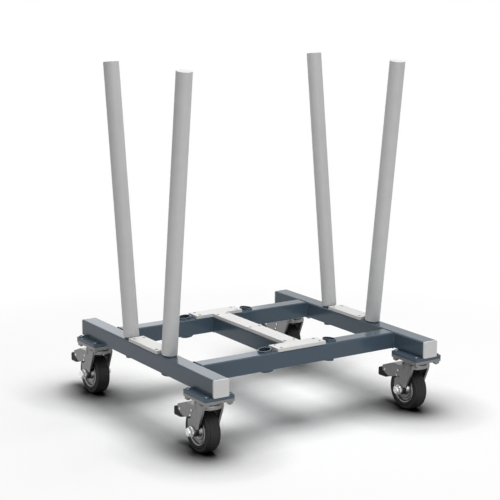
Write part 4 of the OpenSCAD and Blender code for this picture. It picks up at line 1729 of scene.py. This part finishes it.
@dataclass
class Studio:
    """Pale floor with painted shade near the cart, even soft light and the camera at the photograph's viewing
    angle.

    Each fill lamp has its name, its place and its share of the fill's power.
    """

    azimuth_deg: float = -32.741
    elevation_deg: float = 11.505
    camera_place: Point = (-2.2583, -3.4864, 1.3172)
    lens_mm: float = 102.66
    sensor_mm: float = 36.0
    view_end: float = 200.0
    floor_r: float = 14.0
    white: tuple[float, ...] = (1, 1, 1, 1)
    paper: str = "#fdfdfd"
    # Painted shade on the floor: to the eye its colour darkens towards this by ambient occlusion within the reach,
    # raised to the power
    shade: str = "#0a0a0a"
    shade_reach: float = 0.24
    shade_power: float = 2.8
    fade_from: float = 0.7
    fade_to: float = 1.6
    sky_strength: float = 0.06
    lamp_place: Point = (0.35, -0.2, 6.0)
    lamp_power: float = 388.0
    lamp_side: float = 4.0
    fills: tuple[tuple[str, Point, float], ...] = (
        ("front_softbox", (-0.6, -3.7, 1.1), 1.05), ("rear_softbox", (1.0, 3.6, 1.1), 0.4))
    fill_power: float = 38.0
    fill_side: float = 2.4
    aim: Point = (0, 0, 0.3)

    def build(self) -> None:
        """Set up the whole studio; the fills light everything but the floor."""
        bpy.context.scene.view_settings.view_transform = "Standard"
        self.camera()
        self.world()
        self.floor()
        self.lamp("overhead_softbox", self.lamp_place, self.lamp_side, self.lamp_power)
        for name, place, share in self.fills:
            fill = self.lamp(name, place, self.fill_side, share * self.fill_power)
            fill.light_linking.receiver_collection = self.all_but_floor()

    def camera(self) -> None:
        """Place the camera that was solved from the photograph's straight edges."""
        lens = bpy.data.cameras.new("camera")
        lens.lens = self.lens_mm
        lens.sensor_width = self.sensor_mm
        lens.clip_end = self.view_end
        view = scene_object("camera", lens)
        azimuth, elevation = math.radians(self.azimuth_deg), math.radians(self.elevation_deg)
        ahead = Vector((-math.sin(azimuth) * math.cos(elevation),
                        math.cos(azimuth) * math.cos(elevation), -math.sin(elevation)))
        cart_y = box_middle("end_tube_left").y
        view.location = Vector(self.camera_place) + Vector((0, cart_y, 0))
        view.rotation_euler = ahead.to_track_quat("-Z", "Y").to_euler()
        bpy.context.scene.camera = view

    def seen_by_eye(self, tree: Tree) -> Socket:
        """Tell the rays that see the background from those that only carry light.

        Args:
            tree: Node tree of the floor or the world.

        Returns:
            1 for camera, glossy and transmission rays, otherwise 0.
        """
        rays = add_node(tree, "ShaderNodeLightPath").outputs
        seen = rays["Is Camera Ray"]
        for other in ("Is Glossy Ray", "Is Transmission Ray"):
            node = add_node(tree, "ShaderNodeMath", {"operation": "MAXIMUM"},
                            {0: seen, 1: rays[other]})
            seen = node.outputs["Value"]
        return seen

    def world(self) -> None:
        """White to the eye, and a weaker even light for the object."""
        world = bpy.data.worlds.new("studio")
        bpy.context.scene.world = world
        world.use_nodes = True
        world.cycles.sampling_method = "NONE"
        tree = world.node_tree
        tree.nodes.clear()
        seen, cast = (
            add_node(tree, "ShaderNodeBackground", inputs={"Color": self.white, "Strength": power})
            for power in (1.0, self.sky_strength))
        mixed = add_node(tree, "ShaderNodeMixShader", inputs={
            0: self.seen_by_eye(tree), 1: cast.outputs["Background"],
            2: seen.outputs["Background"]})
        add_node(tree, "ShaderNodeOutputWorld", inputs={"Surface": mixed.outputs["Shader"]})

    def floor(self) -> None:
        """White floor that keeps the cart's shadow, deepened by painted shade, and fades into the white
        background.
        """
        disc = bmesh.new()
        bmesh.ops.create_circle(disc, cap_ends=True, segments=Round.WHEEL, radius=self.floor_r)
        mesh = finished_mesh("floor", disc)
        mesh.materials.append(self.floor_material())
        scene_object("floor", mesh)

    def floor_material(self) -> bpy.types.Material:
        """White paper with painted shade that darkens it to the eye near the wheels, and clear from below.

        Returns:
            The floor's material.
        """
        material = bpy.data.materials.new("floor_white")
        material.use_nodes = True
        tree = material.node_tree
        tree.nodes.clear()
        place = add_node(tree, "ShaderNodeTexCoord").outputs["Object"]
        reach = add_node(tree, "ShaderNodeVectorMath", {"operation": "LENGTH"}, {0: place})
        far = add_node(tree, "ShaderNodeMapRange", inputs={
            "Value": reach.outputs["Value"], "From Min": self.fade_from, "From Max": self.fade_to,
            "To Min": 0.0, "To Max": 1.0})
        # Painted shade: ambient occlusion, raised to a power only for rays that the eye sees, darkens the paper
        # towards the shade colour
        near = add_node(tree, "ShaderNodeAmbientOcclusion", inputs={"Distance": self.shade_reach})
        power = add_node(tree, "ShaderNodeMath", {"operation": "MULTIPLY"},
                         {0: self.seen_by_eye(tree), 1: self.shade_power})
        shaded = add_node(tree, "ShaderNodeMath", {"operation": "POWER"},
                          {0: near.outputs["AO"], 1: power.outputs["Value"]})
        colour = add_node(tree, "ShaderNodeMix", {"data_type": "RGBA"}, {
            "Factor": shaded.outputs["Value"], "A": colour_of(self.shade),
            "B": colour_of(self.paper)})
        paper = add_node(tree, "ShaderNodeBsdfDiffuse", inputs={"Color": colour.outputs["Result"]})
        glow = add_node(tree, "ShaderNodeEmission", inputs={"Color": self.white, "Strength": 1.0})
        faded = add_node(tree, "ShaderNodeMath", {"operation": "MULTIPLY"},
                         {0: far.outputs["Result"], 1: self.seen_by_eye(tree)})
        mixed = add_node(tree, "ShaderNodeMixShader", inputs={
            0: faded.outputs["Value"], 1: paper.outputs["BSDF"], 2: glow.outputs["Emission"]})
        underside = add_node(tree, "ShaderNodeNewGeometry").outputs["Backfacing"]
        clear = add_node(tree, "ShaderNodeBsdfTransparent")
        one_sided = add_node(tree, "ShaderNodeMixShader", inputs={
            0: underside, 1: mixed.outputs["Shader"], 2: clear.outputs["BSDF"]})
        add_node(tree, "ShaderNodeOutputMaterial", inputs={"Surface": one_sided.outputs["Shader"]})
        return material

    def all_but_floor(self) -> bpy.types.Collection:
        """Collect what the fills light: everything but the floor, whose shadow they would wash out.

        Returns:
            The collection that excludes the floor.
        """
        name = "all_but_floor"
        lit = bpy.data.collections.get(name)
        if not lit:
            lit = bpy.data.collections.new(name)
            lit.objects.link(bpy.data.objects["floor"])
            lit.collection_objects[0].light_linking.link_state = "EXCLUDE"
        return lit

    def lamp(self, name: str, place: Point, size: float, power: float) -> bpy.types.Object:
        """Hang a square soft lamp that looks at the cart.

        Args:
            name: Name of the lamp.
            place: Where it hangs.
            size: Side of its square.
            power: Its power in watts.

        Returns:
            The lamp.
        """
        light = bpy.data.lights.new(name, "AREA")
        light.shape = "SQUARE"
        light.size = size
        light.energy = power
        lamp = scene_object(name, light)
        lamp.location = place
        ahead = Vector(self.aim) - Vector(place)
        lamp.rotation_euler = ahead.to_track_quat("-Z", "Y").to_euler()
        return lamp


def main() -> None:
    """Build the studio, the frame, the deck, the posts and the casters in order."""
    logging.basicConfig(level=logging.INFO, format="%(name)s: %(message)s")
    Studio().build()
    dress_cad_nodes()
    scatter = Scatter()
    WeldedFrame().build(WeldBead())
    Deck().build(scatter)
    PlateBolts().build(scatter)
    for corner in Corner:
        Post(corner).build()
        Caster(corner).build(scatter)


if __name__ == "__main__":
    main()
